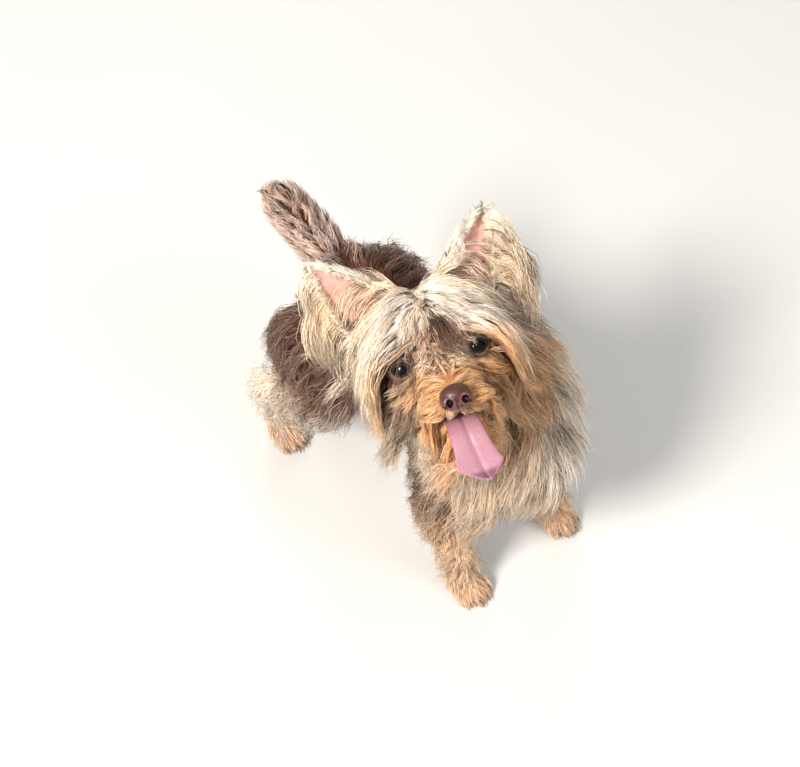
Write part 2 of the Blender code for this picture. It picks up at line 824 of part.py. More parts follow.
def fringe_line(side, v, edge, length):
    """From inside the ear's edge outwards and then down, in the head frame."""
    base, along, look, across = ear_axes(side)
    cup = ear_cup(v)
    inner = 0.70
    start = base + along * EAR_LENGTH * v + across * (edge * inner * ear_half_width(v))
    start = start - look * (cup * (1 - inner * inner) + 0.25 * EAR_THICKNESS)
    out = across * edge
    down = head_matrix().to_3x3().inverted() @ Vector((0, 0, -1))
    heading = out + along * (0.15 if edge > 0 else 0.9)
    heading.normalize()
    points, ups = [start], [look]
    here = start
    rings = len(WIDTH_ALONG)
    first = ear_half_width(v) * (1 - inner) + 2.0 * MM
    for k in range(rings):
        here = here + heading * (first if k == 0 else (length - first) / (rings - 1))
        points.append(here)
        ups.append(look)
        pull = Vector((0, 0, -1)) * 0.45 + down * 0.15 if edge > 0 else along * 0.5
        heading = (heading + pull).normalized()
    return points, ups


def add_fringe(side, name, nodes):
    others = [tree_of([obj]) for other, obj in nodes.items() if other != name]
    place = head_matrix()
    turn = place.to_3x3()
    pieces = []
    for v, edge, length, width in EAR_FRINGE:
        for share in (1.0, 0.8, 0.6):
            points, ups = fringe_line(side, v, edge, length * share)
            line = [place @ q for q in points], [turn @ u for u in ups]
            tree = swollen_tree(line, width)
            if not any(tree.overlap(other) for other in others):
                pieces.append(lock_mesh(line, width))
                break
    union_all(nodes[name], pieces)


# Colour (linear red, green, blue) and roughness of each node's material
LOOKS = {
    "torso": ((0.070, 0.036, 0.026), 0.60),
    "neck": ((0.560, 0.440, 0.330), 0.65),
    "tail": ((0.150, 0.100, 0.085), 0.60),
    "head": ((0.520, 0.400, 0.300), 0.60),
    "lower_jaw": ((0.480, 0.290, 0.160), 0.60),
    "nose": ((0.110, 0.045, 0.035), 0.35),
    "tongue": ((0.700, 0.230, 0.240), 0.35),
    "eye": ((0.020, 0.009, 0.006), 0.05),
    "ear": ((0.620, 0.420, 0.330), 0.60),
    "foreleg": ((0.420, 0.250, 0.150), 0.60),
    "hindleg": ((0.360, 0.210, 0.130), 0.60),
    "forepaw": ((0.400, 0.230, 0.150), 0.60),
    "hindpaw": ((0.400, 0.230, 0.150), 0.60),
}


def paint(nodes):
    for name, obj in nodes.items():
        look = name if name in LOOKS else name.split("_")[0]
        colour, roughness = LOOKS[look]
        material = bpy.data.materials.new(name)
        material.use_nodes = True
        shader = material.node_tree.nodes["Principled BSDF"]
        shader.inputs["Base Color"].default_value = (*colour, 1)
        shader.inputs["Roughness"].default_value = roughness
        shader.inputs["Metallic"].default_value = 0.0
        material.diffuse_color = (*colour, 1)
        obj.data.materials.clear()
        obj.data.materials.append(material)
        obj.data.shade_smooth()
        obj.data.set_sharp_from_angle(angle=math.radians(40))


def centre_on_floor(nodes):
    """Moves the dog sideways so that its box is centred over the origin."""
    points = [v.co for obj in nodes.values() for v in obj.data.vertices]
    middle = Vector((0, 0, 0))
    for axis in (0, 1):
        values = [p[axis] for p in points]
        middle[axis] = (min(values) + max(values)) / 2
    for obj in nodes.values():
        obj.data.transform(Matrix.Translation(-middle))


def main():
    clear_scene()
    nodes = part_body(body_whole())
    head = head_nodes()
    cut_by(nodes["neck"], head["head"], head["lower_jaw"], head["ear_right"], head["ear_left"])
    nodes.update(head)
    skin = tree_of(nodes.values())
    coats = [(f"{leg}_{word}", leg_lock) for leg in ("foreleg", "hindleg") for word in ("right", "left")]
    coats += [("tail", tail_lock), ("torso", torso_lock), ("neck", neck_lock)]
    coats += [("lower_jaw", in_head(jaw_lock)), ("head", in_head(head_lock))]
    for name, rule in coats:
        add_coat(name, nodes, skin, rule)
    add_fringe(RIGHT, "ear_right", nodes)
    add_fringe(LEFT, "ear_left", nodes)
    for obj in list(bpy.data.objects):
        if obj.name not in nodes:
            bpy.data.objects.remove(obj)
    paint(nodes)
    centre_on_floor(nodes)


main()
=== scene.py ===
"""How the still Yorkshire terrier looks: skin, face, a coat of solid strands, and a plain studio.

Metres, +Z up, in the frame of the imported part. The body is described in the dog's own frame, where
it faces -Y, and the head in a frame whose origin lies midway between the fronts of the eyes, with
the nose along -Y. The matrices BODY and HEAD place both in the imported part.
"""

import math
from collections import namedtuple

import bmesh
import bpy
import numpy as np
from mathutils import Matrix, Vector
from mathutils.bvhtree import BVHTree
from mathutils.kdtree import KDTree


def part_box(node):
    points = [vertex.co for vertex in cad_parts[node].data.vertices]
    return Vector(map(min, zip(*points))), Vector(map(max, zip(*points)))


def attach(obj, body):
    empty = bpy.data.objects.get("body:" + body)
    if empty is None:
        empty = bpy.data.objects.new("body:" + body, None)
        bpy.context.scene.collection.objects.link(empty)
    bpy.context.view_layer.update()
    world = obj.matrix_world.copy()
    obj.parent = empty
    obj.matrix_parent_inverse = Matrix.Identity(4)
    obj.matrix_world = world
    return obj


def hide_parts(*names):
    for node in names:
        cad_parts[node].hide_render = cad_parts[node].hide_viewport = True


MM = 0.001
RIGHT, LEFT = -1, 1
SIDES = ((RIGHT, "right"), (LEFT, "left"))

# Where the head is held, in the dog's own frame
HEAD_AT = Vector((-0.0475, -0.0413, 0.2529))
HEAD_YAW = math.radians(-38.6)
HEAD_PITCH = math.radians(45.9)
HEAD_ROLL = math.radians(-12.1)

BACK_HEIGHT = 0.186
CHEST_HALF_WIDTH = 0.040
EYE_SPACING = 0.036
EYE_RADIUS = 0.0080
EYE_DEPTH = 0.0070

# The skin's fineness, and how far it lies inside the solids' flesh
SKIN_VOXEL = 1.5 * MM
SKIN_INSET = 1.2 * MM
SOLE_LEVEL = 0.6 * MM

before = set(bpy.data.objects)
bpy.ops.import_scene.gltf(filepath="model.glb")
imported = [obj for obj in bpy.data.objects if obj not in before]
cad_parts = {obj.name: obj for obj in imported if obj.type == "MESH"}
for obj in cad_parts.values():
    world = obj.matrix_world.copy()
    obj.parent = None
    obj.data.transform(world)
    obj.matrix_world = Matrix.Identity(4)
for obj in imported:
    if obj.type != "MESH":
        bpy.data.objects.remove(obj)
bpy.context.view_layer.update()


def middle_of(node):
    low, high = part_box(node)
    return (low + high) / 2


def head_matrix():
    yaw = Matrix.Rotation(HEAD_YAW, 4, "Z")
    pitch = Matrix.Rotation(-HEAD_PITCH, 4, "X")
    roll = Matrix.Rotation(HEAD_ROLL, 4, "Y")
    eyes = (middle_of("eye_right") + middle_of("eye_left")) / 2
    return Matrix.Translation(eyes) @ yaw @ pitch @ roll @ Matrix.Translation((0, -EYE_DEPTH, 0))


HEAD = head_matrix()
BODY = Matrix.Translation(HEAD.translation - HEAD_AT)


def in_frame(matrix, points):
    """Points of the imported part, as rows, in the frame that a matrix places."""
    back = np.array(matrix.inverted())
    return points @ back[:3, :3].T + back[:3, 3]


def mesh_object(name, bm, collection=None):
    mesh = bpy.data.meshes.new(name)
    bm.to_mesh(mesh)
    bm.free()
    obj = bpy.data.objects.new(name, mesh)
    (collection or bpy.context.scene.collection).objects.link(obj)
    return obj


def apply_modifiers(obj):
    graph = bpy.context.evaluated_depsgraph_get()
    mesh = bpy.data.meshes.new_from_object(obj.evaluated_get(graph))
    obj.modifiers.clear()
    obj.data = mesh
    return obj


def add_egg(bm, centre, radii, turn=(0, 0, 0), level=3):
    """An ellipsoid, turned by Euler angles in degrees."""
    angles = [math.radians(a) for a in turn]
    place = Matrix.Translation(centre) @ Matrix.Rotation(angles[2], 4, "Z")
    place = place @ Matrix.Rotation(angles[1], 4, "Y") @ Matrix.Rotation(angles[0], 4, "X")
    size = Matrix.Diagonal((*radii, 1))
    bmesh.ops.create_icosphere(bm, subdivisions=level, radius=1, matrix=place @ size)


def add_limb(bm, stations):
    """A rounded limb through stations (x, y, z, radius), as a run of close spheres."""
    for start, end in zip(stations, stations[1:]):
        a, b = np.array(start), np.array(end)
        steps = max(2, math.ceil(np.linalg.norm(b[:3] - a[:3]) / (0.25 * min(a[3], b[3]))))
        for k in range(steps + 1):
            x, y, z, r = a + (b - a) * k / steps
            add_egg(bm, (x, y, z), (r, r, r), level=3)


def remesh(obj, voxel, smoothing):
    """Fuses overlapping pieces into one smooth closed skin."""
    fuse = obj.modifiers.new("Fuse", "REMESH")
    fuse.mode = "VOXEL"
    fuse.voxel_size = voxel
    smooth = obj.modifiers.new("Smooth", "SMOOTH")
    smooth.factor = 0.5
    smooth.iterations = smoothing
    return apply_modifiers(obj)


# The flesh: the same forms as the solids' flesh
def foreleg(side, foot_x, foot_y):
    return [
        (side * 0.035, -0.036, 0.104, 0.014),
        (side * 0.038, -0.036, 0.088, 0.0125),
        ((side * 0.038 + foot_x) / 2, (foot_y - 0.030) / 2, 0.062, 0.0100),
        (foot_x, foot_y + 0.008, 0.034, 0.0085),
        (foot_x, foot_y + 0.003, 0.018, 0.0085),
    ]


def hindleg(side, foot_x, foot_y):
    return [
        (side * 0.034, 0.060, 0.104, 0.019),
        (side * 0.035, 0.066, 0.086, 0.0165),
        ((side * 0.036 + foot_x) / 2, (foot_y + 0.080) / 2, 0.068, 0.0120),
        (foot_x, foot_y + 0.013, 0.050, 0.0085),
        (foot_x, foot_y + 0.007, 0.028, 0.0080),
        (foot_x, foot_y + 0.003, 0.016, 0.0085),
    ]


FEET = {
    "forepaw_right": (-0.036, -0.060),
    "forepaw_left": (0.041, -0.068),
    "hindpaw_right": (-0.040, 0.106),
    "hindpaw_left": (0.014, 0.110),
}
NECK = [
    (0.000, -0.040, 0.150, 0.040),
    (-0.005, -0.038, 0.174, 0.036),
    (-0.011, -0.033, 0.194, 0.033),
    (-0.017, -0.028, 0.208, 0.030),
]
TAIL = [
    (0.000, 0.082, 0.166, 0.0150),
    (-0.003, 0.096, 0.184, 0.0110),
    (-0.007, 0.108, 0.198, 0.0090),
    (-0.011, 0.116, 0.211, 0.0065),
]


def toes(foot_x, foot_y):
    """The middle of each toe of a paw, from the dog's right to its left."""
    for k, across in enumerate((-1.5, -0.5, 0.5, 1.5)):
        reach = 0.011 if k in (1, 2) else 0.007
        yield Vector((foot_x + across * 0.0058, foot_y - reach, 0.0050))


def add_paw(bm, foot_x, foot_y):
    add_egg(bm, (foot_x, foot_y, 0.0080), (0.0112, 0.0135, 0.0115))
    for toe in toes(foot_x, foot_y):
        add_egg(bm, toe, (0.0034, 0.0075, 0.0072), (-12, 0, 0))


def body_flesh():
    bm = bmesh.new()
    w = CHEST_HALF_WIDTH
    add_egg(bm, (0, -0.034, BACK_HEIGHT - 0.050), (w, 0.050, 0.050), level=5)
    add_egg(bm, (0, 0.018, BACK_HEIGHT - 0.045), (0.92 * w, 0.052, 0.044), level=5)
    add_egg(bm, (0, 0.060, BACK_HEIGHT - 0.041), (0.90 * w, 0.040, 0.040), level=5)
    add_egg(bm, (0, -0.062, BACK_HEIGHT - 0.054), (0.70 * w, 0.026, 0.036), level=4)
    for side in (RIGHT, LEFT):
        add_egg(bm, (side * 0.030, -0.042, 0.122), (0.017, 0.027, 0.038), (-18, 0, 0), level=4)
        add_egg(bm, (side * 0.030, 0.072, 0.120), (0.020, 0.033, 0.040), (14, 0, 0), level=4)
    for name, (x, y) in FEET.items():
        side = RIGHT if name.endswith("right") else LEFT
        leg = foreleg if name.startswith("fore") else hindleg
        add_limb(bm, leg(side, x, y))
        add_paw(bm, x, y)
    add_limb(bm, NECK)
    add_limb(bm, TAIL)
    bm.transform(BODY)
    return bm


MUZZLE = [(0, 0.006, -0.008, 0.0175), (0, -0.010, -0.0115, 0.0135), (0, -0.021, -0.0135, 0.0112)]
JAW = [
    (0, 0.020, -0.023, 0.0120),
    (0, 0.004, -0.0305, 0.0105),
    (0, -0.010, -0.0355, 0.0088),
    (0, -0.018, -0.0380, 0.0075),
]


def facing(side):
    """The way an eye looks, in the head frame."""
    return Vector((side * 0.30, -0.94, 0.12)).normalized()


def eye_centre(side):
    return Vector((side * EYE_SPACING / 2, EYE_DEPTH, 0))


def head_flesh():
    bm = bmesh.new()
    add_egg(bm, (0, 0.034, 0.006), (0.029, 0.035, 0.026), level=5)
    add_egg(bm, (0, 0.016, 0.008), (0.024, 0.020, 0.019), level=4)
    for side in (RIGHT, LEFT):
        add_egg(bm, (side * 0.018, 0.020, -0.010), (0.013, 0.022, 0.015), level=4)
        add_egg(bm, eye_centre(side) + Vector((0, 0.0010, 0)), (0.0108,) * 3, level=4)
        add_egg(bm, (side * 0.016, 0.008, 0.0090), (0.010, 0.009, 0.006), level=4)
        add_egg(bm, (side * 0.0075, -0.019, -0.0180), (0.0078, 0.012, 0.0072), level=4)
    add_limb(bm, MUZZLE)
    add_limb(bm, JAW)
    bm.transform(HEAD)
    return bm


EAR_LENGTH = 0.046
EAR_HALF_WIDTH = 0.0165
EAR_THICKNESS = 0.0013


def ear_axes(side):
    """Base of an ear, and the ways along it, out of its opening and across it to its outer edge."""
    base = Vector((side * 0.0235, 0.038, 0.022))
    tip = Vector((side * (0.050 if side == RIGHT else 0.046), 0.035, 0.064))
    along = (tip - base).normalized()
    look = Vector((side * 0.30, -1, 0.0))
    look = (look - along * look.dot(along)).normalized()
    return base, along, look, along.cross(look) * side


def ear_half_width(v):
    v = min(max(v, 0.0), 1.0)
    return EAR_HALF_WIDTH * (1 - v ** 1.7) ** 0.9 + 0.0008


def ear_point(side, u, v):
    """A point of the ear's inner sheet: u across from -1 to 1, v along from 0 at the base to 1."""
    base, along, look, across = ear_axes(side)
    cup = 0.0095 * (1 - 0.75 * max(v, 0.0))
    fold = 0.0012 * math.exp(-((u - 0.45) / 0.18) ** 2) * max(0.0, 1 - v)
    return base + along * EAR_LENGTH * v + across * ear_half_width(v) * u - look * (cup * (1 - u * u) - fold)


def ear_shell(side):
    rows, columns = 44, 28
    bm = bmesh.new()
    grid = []
    for i in range(rows + 1):
        v = -0.22 + 1.22 * i / rows
        grid.append([bm.verts.new(ear_point(side, 2 * j / columns - 1, v)) for j in range(columns + 1)])
    for i in range(rows):
        for j in range(columns):
            bm.faces.new((grid[i][j], grid[i][j + 1], grid[i + 1][j + 1], grid[i + 1][j]))
    bm.transform(HEAD)
    ear = mesh_object("ear", bm)
    thicken = ear.modifiers.new("Thickness", "SOLIDIFY")
    thicken.thickness = EAR_THICKNESS
    thicken.offset = 0
    apply_modifiers(ear)
    bm = bmesh.new()
    bm.from_mesh(ear.data)
    bmesh.ops.recalc_face_normals(bm, faces=bm.faces)
    bm.to_mesh(ear.data)
    bm.free()
    return ear


# Half the lids' opening across and up, as angles seen from the eye's centre
LIDS_ACROSS = math.radians(31)
LIDS_UP = math.radians(24)
LID_RADIUS = EYE_RADIUS + 0.5 * MM


def eye_axes(side):
    look = facing(side)
    up = Vector((0, 0, 1))
    across = look.cross(up).normalized()
    return look, across, across.cross(look).normalized()


def shape_lids(points):
    """Draws the skin, in the head frame, over each eyeball and opens it between the lids."""
    for side in (RIGHT, LEFT):
        look, across, up = (np.array(v) for v in eye_axes(side))
        rel = points - np.array(eye_centre(side))
        reach = np.linalg.norm(rel, axis=1)
        ahead = rel @ look
        sideways = np.arctan2(rel @ across, ahead)
        upward = np.arctan2(rel @ up, ahead)
        out = np.hypot(sideways / LIDS_ACROSS, upward / LIDS_UP)
        near = (reach < 0.016) & (ahead > 0)
        opened = near & (out < 1)
        wanted = np.where(opened, EYE_RADIUS - 1.4 * MM, reach)
        hug = near & ~opened
        share = np.clip((out - 1) / 0.9, 0, 1)
        lid = LID_RADIUS + 0.4 * MM
        wanted = np.where(hug, np.maximum(lid, lid + (reach - lid) * share), wanted)
        points[:] = np.array(eye_centre(side)) + rel * (wanted / np.maximum(reach, 1e-9))[:, None]
    return points


def read_vertices(mesh, name="co"):
    values = np.empty(len(mesh.vertices) * 3)
    mesh.vertices.foreach_get(name, values)
    return values.reshape(-1, 3)


def make_skin():
    """One closed skin over body, head and ears."""
    bm = body_flesh()
    head = head_flesh()
    scratch = bpy.data.meshes.new("scratch")
    head.to_mesh(scratch)
    head.free()
    bm.from_mesh(scratch)
    bpy.data.meshes.remove(scratch)
    skin = remesh(mesh_object("skin", bm), SKIN_VOXEL, 6)
    points = read_vertices(skin.data) - read_vertices(skin.data, "normal") * SKIN_INSET
    points = shape_lids(in_frame(HEAD, points))
    turn = np.array(HEAD)
    points = points @ turn[:3, :3].T + turn[:3, 3]
    points[:, 2] = np.maximum(points[:, 2], SOLE_LEVEL)
    skin.data.vertices.foreach_set("co", points.ravel())
    for side in (RIGHT, LEFT):
        ear = ear_shell(side)
        join = skin.modifiers.new("Join", "BOOLEAN")
        join.operation = "UNION"
        join.solver = "MANIFOLD"
        join.object = ear
        apply_modifiers(skin)
        bpy.data.objects.remove(ear)
    skin.data.update()
    return skin


# What the skin and the coat share: colours, linear red, green and blue
CHOCOLATE = np.array((0.135, 0.066, 0.042))
# The flanks' grey-brown: partly the coat's steel colour, partly painted sheen
STEEL_AND_SHEEN = np.array((0.235, 0.165, 0.140))
BELLY = np.array((0.420, 0.270, 0.190))
CREAM = np.array((0.930, 0.770, 0.590))
# Golden brown of the dog's left cheek, darkened as painted shade
HONEY_AND_SHADE = np.array((0.640, 0.390, 0.200))
CHEST_WHITE = np.array((0.930, 0.880, 0.790))
SILVER = np.array((0.930, 0.880, 0.840))
GOLD = np.array((0.680, 0.415, 0.200))
AMBER = np.array((0.720, 0.370, 0.140))
BROWN = np.array((0.300, 0.170, 0.110))
PEACH = np.array((0.880, 0.660, 0.460))
HOCK = np.array((0.990, 0.900, 0.790))
FOOT = np.array((0.860, 0.640, 0.470))
MAUVE = np.array((0.600, 0.480, 0.420))
TAIL_TIP = np.array((0.250, 0.150, 0.110))
EAR_PINK = np.array((0.720, 0.370, 0.310))
LIP = np.array((0.130, 0.022, 0.022))
DARK_HAIR = np.array((0.085, 0.048, 0.036))


def ramp(low, high, x):
    """From 0 at low to 1 at high, eased at both ends."""
    t = np.clip((x - low) / (high - low), 0, 1)
    return t * t * (3 - 2 * t)


def mix(a, b, share):
    return a + (b - a) * share[:, None]


def near_eyes(q):
    """How far each point of the head frame is from the nearer eye's centre."""
    return np.min([np.linalg.norm(q - np.array(eye_centre(s)), axis=1) for s in (RIGHT, LEFT)], axis=0)


def head_colours(q):
    x, y, z = q.T
    # The dog's left cheek and lower face: golden, and darker as painted shade
    colour = mix(np.tile(CREAM, (len(q), 1)), HONEY_AND_SHADE, ramp(0.006, 0.026, x) * ramp(0.004, -0.020, z))
    colour = mix(colour, SILVER, ramp(-0.002, 0.009, z) * ramp(-0.004, 0.004, y))
    colour = mix(colour, PEACH, 0.55 * ramp(0.012, 0.004, abs(x)) * ramp(0.012, 0.004, z) * ramp(0.012, 0.004, y))
    brow = ramp(0.001, 0.006, z) * ramp(0.021, 0.014, z)
    colour = mix(colour, BROWN, 0.7 * ramp(0.014, 0.006, abs(x)) * brow * ramp(0.016, 0.008, y))
    colour = mix(colour, GOLD, ramp(0.010, -0.004, y) * ramp(0.002, -0.006, z))
    # Painted shade: darker amber over the dog's left side of the moustache
    colour = mix(colour, AMBER * 0.8, 0.45 * ramp(0.006, 0.016, x) * ramp(0.012, 0.002, y) * ramp(-0.006, -0.014, z))
    colour = mix(colour, AMBER, ramp(-0.026, -0.034, z) * ramp(0.024, 0.010, y) * ramp(0.026, 0.016, abs(x)))
    colour = mix(colour, BROWN, 0.85 * ramp(0.0175, 0.0120, near_eyes(q)) * ramp(-0.008, -0.002, y))
    colour = mix(colour, PEACH, 0.5 * ramp(0.010, 0.006, abs(x)) * ramp(-0.018, -0.021, z) * ramp(-0.018, -0.024, y))
    return mix(colour, CHOCOLATE, ramp(0.044, 0.056, y) * ramp(-0.020, -0.005, z))


def body_colours(p):
    x, y, z = p.T
    # Upper flanks: steel grey-brown, partly painted sheen
    colour = mix(np.tile(CHOCOLATE, (len(p), 1)), STEEL_AND_SHEEN, 0.6 * ramp(0.02, 0.034, abs(x)) * ramp(0.09, 0.12, z))
    colour = mix(colour, BELLY, ramp(0.110, 0.092, z) * ramp(-0.03, 0.0, y))
    front = ramp(-0.036, -0.058, y + 0.10 * np.maximum(abs(x) - 0.020, 0) + 0.5 * np.maximum(x - 0.034, 0))
    colour = mix(colour, CREAM, front * ramp(0.075, 0.095, z))
    colour = mix(colour, CHEST_WHITE, front * ramp(0.042, 0.020, abs(x - 0.012)) * ramp(0.07, 0.09, z))
    colour = mix(colour, CREAM, 0.75 * ramp(0.165, 0.185, z) * ramp(-0.02, -0.045, y) * ramp(0.038, 0.022, x))
    colour = mix(colour, PEACH, ramp(0.100, 0.076, z) * ramp(-0.01, -0.03, y))
    colour = mix(colour, HOCK, ramp(0.092, 0.074, z) * ramp(0.03, 0.05, y))
    colour = mix(colour, FOOT, 0.8 * ramp(0.034, 0.018, z))
    tail = ramp(0.080, 0.088, y) * ramp(0.158, 0.170, z)
    colour = mix(colour, MAUVE, tail)
    return mix(colour, TAIL_TIP, 0.5 * tail * ramp(0.204, 0.220, z))


def near_ears(q):
    """How far each point of the head frame is from the middle line of the nearer ear."""
    reaches = []
    for side in (RIGHT, LEFT):
        base, along, _, _ = (np.array(v) for v in ear_axes(side))
        share = np.clip((q - base) @ along, 0, EAR_LENGTH)
        reaches.append(np.linalg.norm(q - base - share[:, None] * along, axis=1))
    return np.min(reaches, axis=0)


def markings(points, roots=None):
    """The coat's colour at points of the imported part, alike for the skin and for the hair.

    A hair keeps to the part of the dog that it is rooted on.
    """
    roots = points if roots is None else roots
    on = in_frame(HEAD, roots)
    head = ramp(0.062, 0.050, np.linalg.norm((on - (0, 0.014, -0.004)) * (1, 1, 0.9), axis=1))
    q = in_frame(HEAD, points)
    colour = mix(body_colours(in_frame(BODY, points)), head_colours(q), head)
    ears = ramp(0.027, 0.021, near_ears(on)) * ramp(0.014, 0.024, on[:, 2])
    return mix(colour, mix(np.tile(CREAM, (len(q), 1)), CHEST_WHITE, ramp(0.040, 0.056, q[:, 2])), ears)


# The skin as arrays, with the solid that each of its triangles lies in
Surface = namedtuple("Surface", "corners centres normals areas nodes tree")


def read_surface(skin):
    mesh = skin.data
    mesh.calc_loop_triangles()
    index = np.empty(len(mesh.loop_triangles) * 3, dtype=int)
    mesh.loop_triangles.foreach_get("vertices", index)
    corners = read_vertices(mesh)[index.reshape(-1, 3)]
    cross = np.cross(corners[:, 1] - corners[:, 0], corners[:, 2] - corners[:, 0])
    size = np.linalg.norm(cross, axis=1)
    vertices = [v.co for v in mesh.vertices]
    tree = BVHTree.FromPolygons(vertices, index.reshape(-1, 3).tolist(), all_triangles=True)
    centres = corners.mean(axis=1)
    normals = cross / np.maximum(size, 1e-12)[:, None]
    return Surface(corners, centres, normals, size / 2, solids_at(centres), tree)


FLESH = (
    ["head", "lower_jaw", "neck", "torso", "tail", "ear_right", "ear_left", *FEET]
    + [f"{leg}_{word}" for leg in ("foreleg", "hindleg") for _, word in SIDES]
)


def solids_at(points):
    """The name of the solid nearest to each point."""
    vertices, faces, owners = [], [], []
    for name in FLESH:
        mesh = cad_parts[name].data
        first = len(vertices)
        vertices += [v.co for v in mesh.vertices]
        faces += [[first + i for i in p.vertices] for p in mesh.polygons]
        owners += [name] * len(mesh.polygons)
    tree = BVHTree.FromPolygons(vertices, faces)
    return np.array([owners[tree.find_nearest(p)[2]] for p in points])


# How hair grows at a place: the way it lies, its length, how far the tip stands off, how much it
# hangs, and how steeply it leaves the skin
Hair = namedtuple("Hair", "lie length rise sag lift", defaults=(0.35,))


def side_of(p):
    return LEFT if p.x > 0 else RIGHT


def torso_hair(p, n):
    """Parted along the spine, down the flanks and a little back."""
    side = side_of(p)
    if p.y < -0.052 and n.y < -0.2:
        return Hair(Vector((0.35 * side, -0.12, -1)), 0.040, 0.009, 0.3)
    if n.z < -0.55:
        return Hair(Vector((0.25 * side, 0.6, -0.7)), 0.024, 0.006, 0.5)
    if p.y > 0.066 and p.z > 0.160:
        return Hair(Vector((0.45 * side, 0.9, -0.25)), 0.024, 0.0060, 0.3, 0.5)
    up = max(n.z, 0)
    return Hair(Vector((side * (0.10 + up), 0.42, -0.9)), 0.040, 0.0025 + 0.0085 * up * up, 0.35, 0.3 + 0.35 * up)


def neck_hair(p, n):
    """The ruff: down the neck and over the chest and the shoulders."""
    side = side_of(p)
    if n.y > 0:
        return Hair(Vector((0.25 * side, 0.3, -1)), 0.040, 0.011, 0.3)
    return Hair(Vector((0.28 * side, -0.25, -1)), 0.049, 0.012, 0.25)


def leg_hair(p, n):
    if n.y > 0.3:
        return Hair(Vector((0, 0.40, -1)), 0.026, 0.007, 0.2)
    return Hair(Vector((0.15 * n.x, 0.05, -1)), 0.020, 0.0045, 0.15)


def paw_hair(p, n):
    if n.z < -0.2 or p.z < 0.003:
        return None
    return Hair(Vector((0.5 * n.x, -0.65, -0.6)), 0.0095, 0.0012, 0.1, 0.25)


def tail_hair(p, n):
    """A plume: along the tail to its tip, and out from it."""
    along = (Vector(TAIL[-1][:3]) - Vector(TAIL[0][:3])).normalized()
    far = min(1, max(0, (p.z - 0.180) / 0.030))
    if n.dot(along) > 0.6:
        return Hair(along + Vector((-0.2, 0.1, 0)), 0.014, 0.013, 0.0, 1.6)
    return Hair(along + Vector((0, 0.15, -0.05)), 0.018 - 0.003 * far, 0.0045 + 0.0045 * far, 0.15, 0.35 + 0.3 * far)


# Where the hair of the head springs from, in the head frame
CROWN = Vector((0.002, 0.040, 0.034))
NOSE = Vector((0, -0.0315, -0.0135))


def head_hair(q, n):
    """Parted down the middle, over the cheeks, with a moustache and a short face."""
    side = side_of(q)
    from_eye = q - min((eye_centre(s) for s in (RIGHT, LEFT)), key=lambda c: (q - c).length)
    if from_eye.length < EYE_RADIUS + 3.4 * MM:
        if from_eye.dot(facing(side)) > 0.0079:
            return None
        hang = -0.5 if from_eye.z < 0 else 0.1
        return Hair(from_eye * 90 + Vector((side * 0.4, 0.2, hang)), 0.0060, 0.0008, 0.0, 0.12)
    if n.z < -0.85 and abs(q.x) < 0.014 and q.y < 0.022:
        return None
    if (q - NOSE).length < 0.0067:
        return None
    if q.y < -0.002:
        if q.z < -0.017 and abs(q.x) < 0.007:
            return Hair(Vector((side * 0.60, 0.1, -0.80)), 0.0062, 0.0012, 0.0, 0.2)
        if n.z > 0.45 or q.y < -0.024:
            aside = min(1, abs(q.x) / 0.005)
            return Hair(Vector((side * aside, 0.9 - 0.6 * aside, -0.15)), 0.0085 + 0.0075 * aside, 0.0018, 0.0, 0.22)
        if q.z > -0.011:
            return Hair(Vector((side, 0.45, -0.35)), 0.027, 0.0050, 0.16)
        return Hair(Vector((side * 0.75, 0.40, -0.80)), 0.038 if side == RIGHT else 0.032, 0.0060, 0.22)
    if q.y > 0.052:
        return Hair(Vector((0.45 * side, 0.4, -1)), 0.038, 0.010, 0.3)
    if q.z > 0.001:
        if abs(q.x) < 0.011 and q.y < 0.012:
            return Hair(Vector((0.5 * side * min(1, abs(q.x) / 0.008), -0.2, -1)), 0.011, 0.0022, 0.0, 0.3)
        aside = min(1, abs(q.x) / 0.016)
        sideways = 0.45 * min(1, abs(q.x) / 0.007) + 0.8 * aside
        away = q - CROWN
        away = away - n * away.dot(n) + Vector((0, -0.005, -0.002))
        lie = away.normalized() * 0.7 + Vector((side * sideways, 0, -0.25))
        front = min(1, max(0, (q.y - 0.004) / 0.020))
        lift = 0.5 + 0.5 * max(0, 1 - (q - CROWN).length / 0.024)
        return Hair(lie, 0.018 + 0.009 * front + 0.022 * aside, 0.007 + 0.007 * aside, 0.12, lift)
    if abs(q.x) < 0.016 and q.y < 0.006:
        return Hair(Vector((side, 0.1, -0.6)), 0.018, 0.004, 0.1)
    return Hair(Vector((0.60 * side, 0.35, -1)), 0.054 if side == RIGHT else 0.048, 0.013, 0.12, 0.5)


def jaw_hair(q, n):
    """The beard."""
    side = side_of(q)
    if n.z > 0.25:
        return None
    if n.y < -0.3 and q.z > -0.036:
        return Hair(Vector((0.5 * side, -0.1, -1)), 0.011, 0.0012, 0.1, 0.2)
    return Hair(Vector((0.70 * side, 0.35, -1)), 0.049 if side == RIGHT else 0.036, 0.006, 0.20)


def ear_back_hair(q, n):
    """Short hair over the back of an ear, towards its tip and outwards."""
    side = side_of(q)
    _, along, look, across = ear_axes(side)
    if n.dot(look) > -0.1:
        return None
    v = (q - ear_axes(side)[0]).dot(along) / EAR_LENGTH
    return Hair(along * (0.4 if v > 0.6 else 1) + across * 0.6, 0.010 if v < 0.6 else 0.007, 0.0015, 0.1, 0.25)


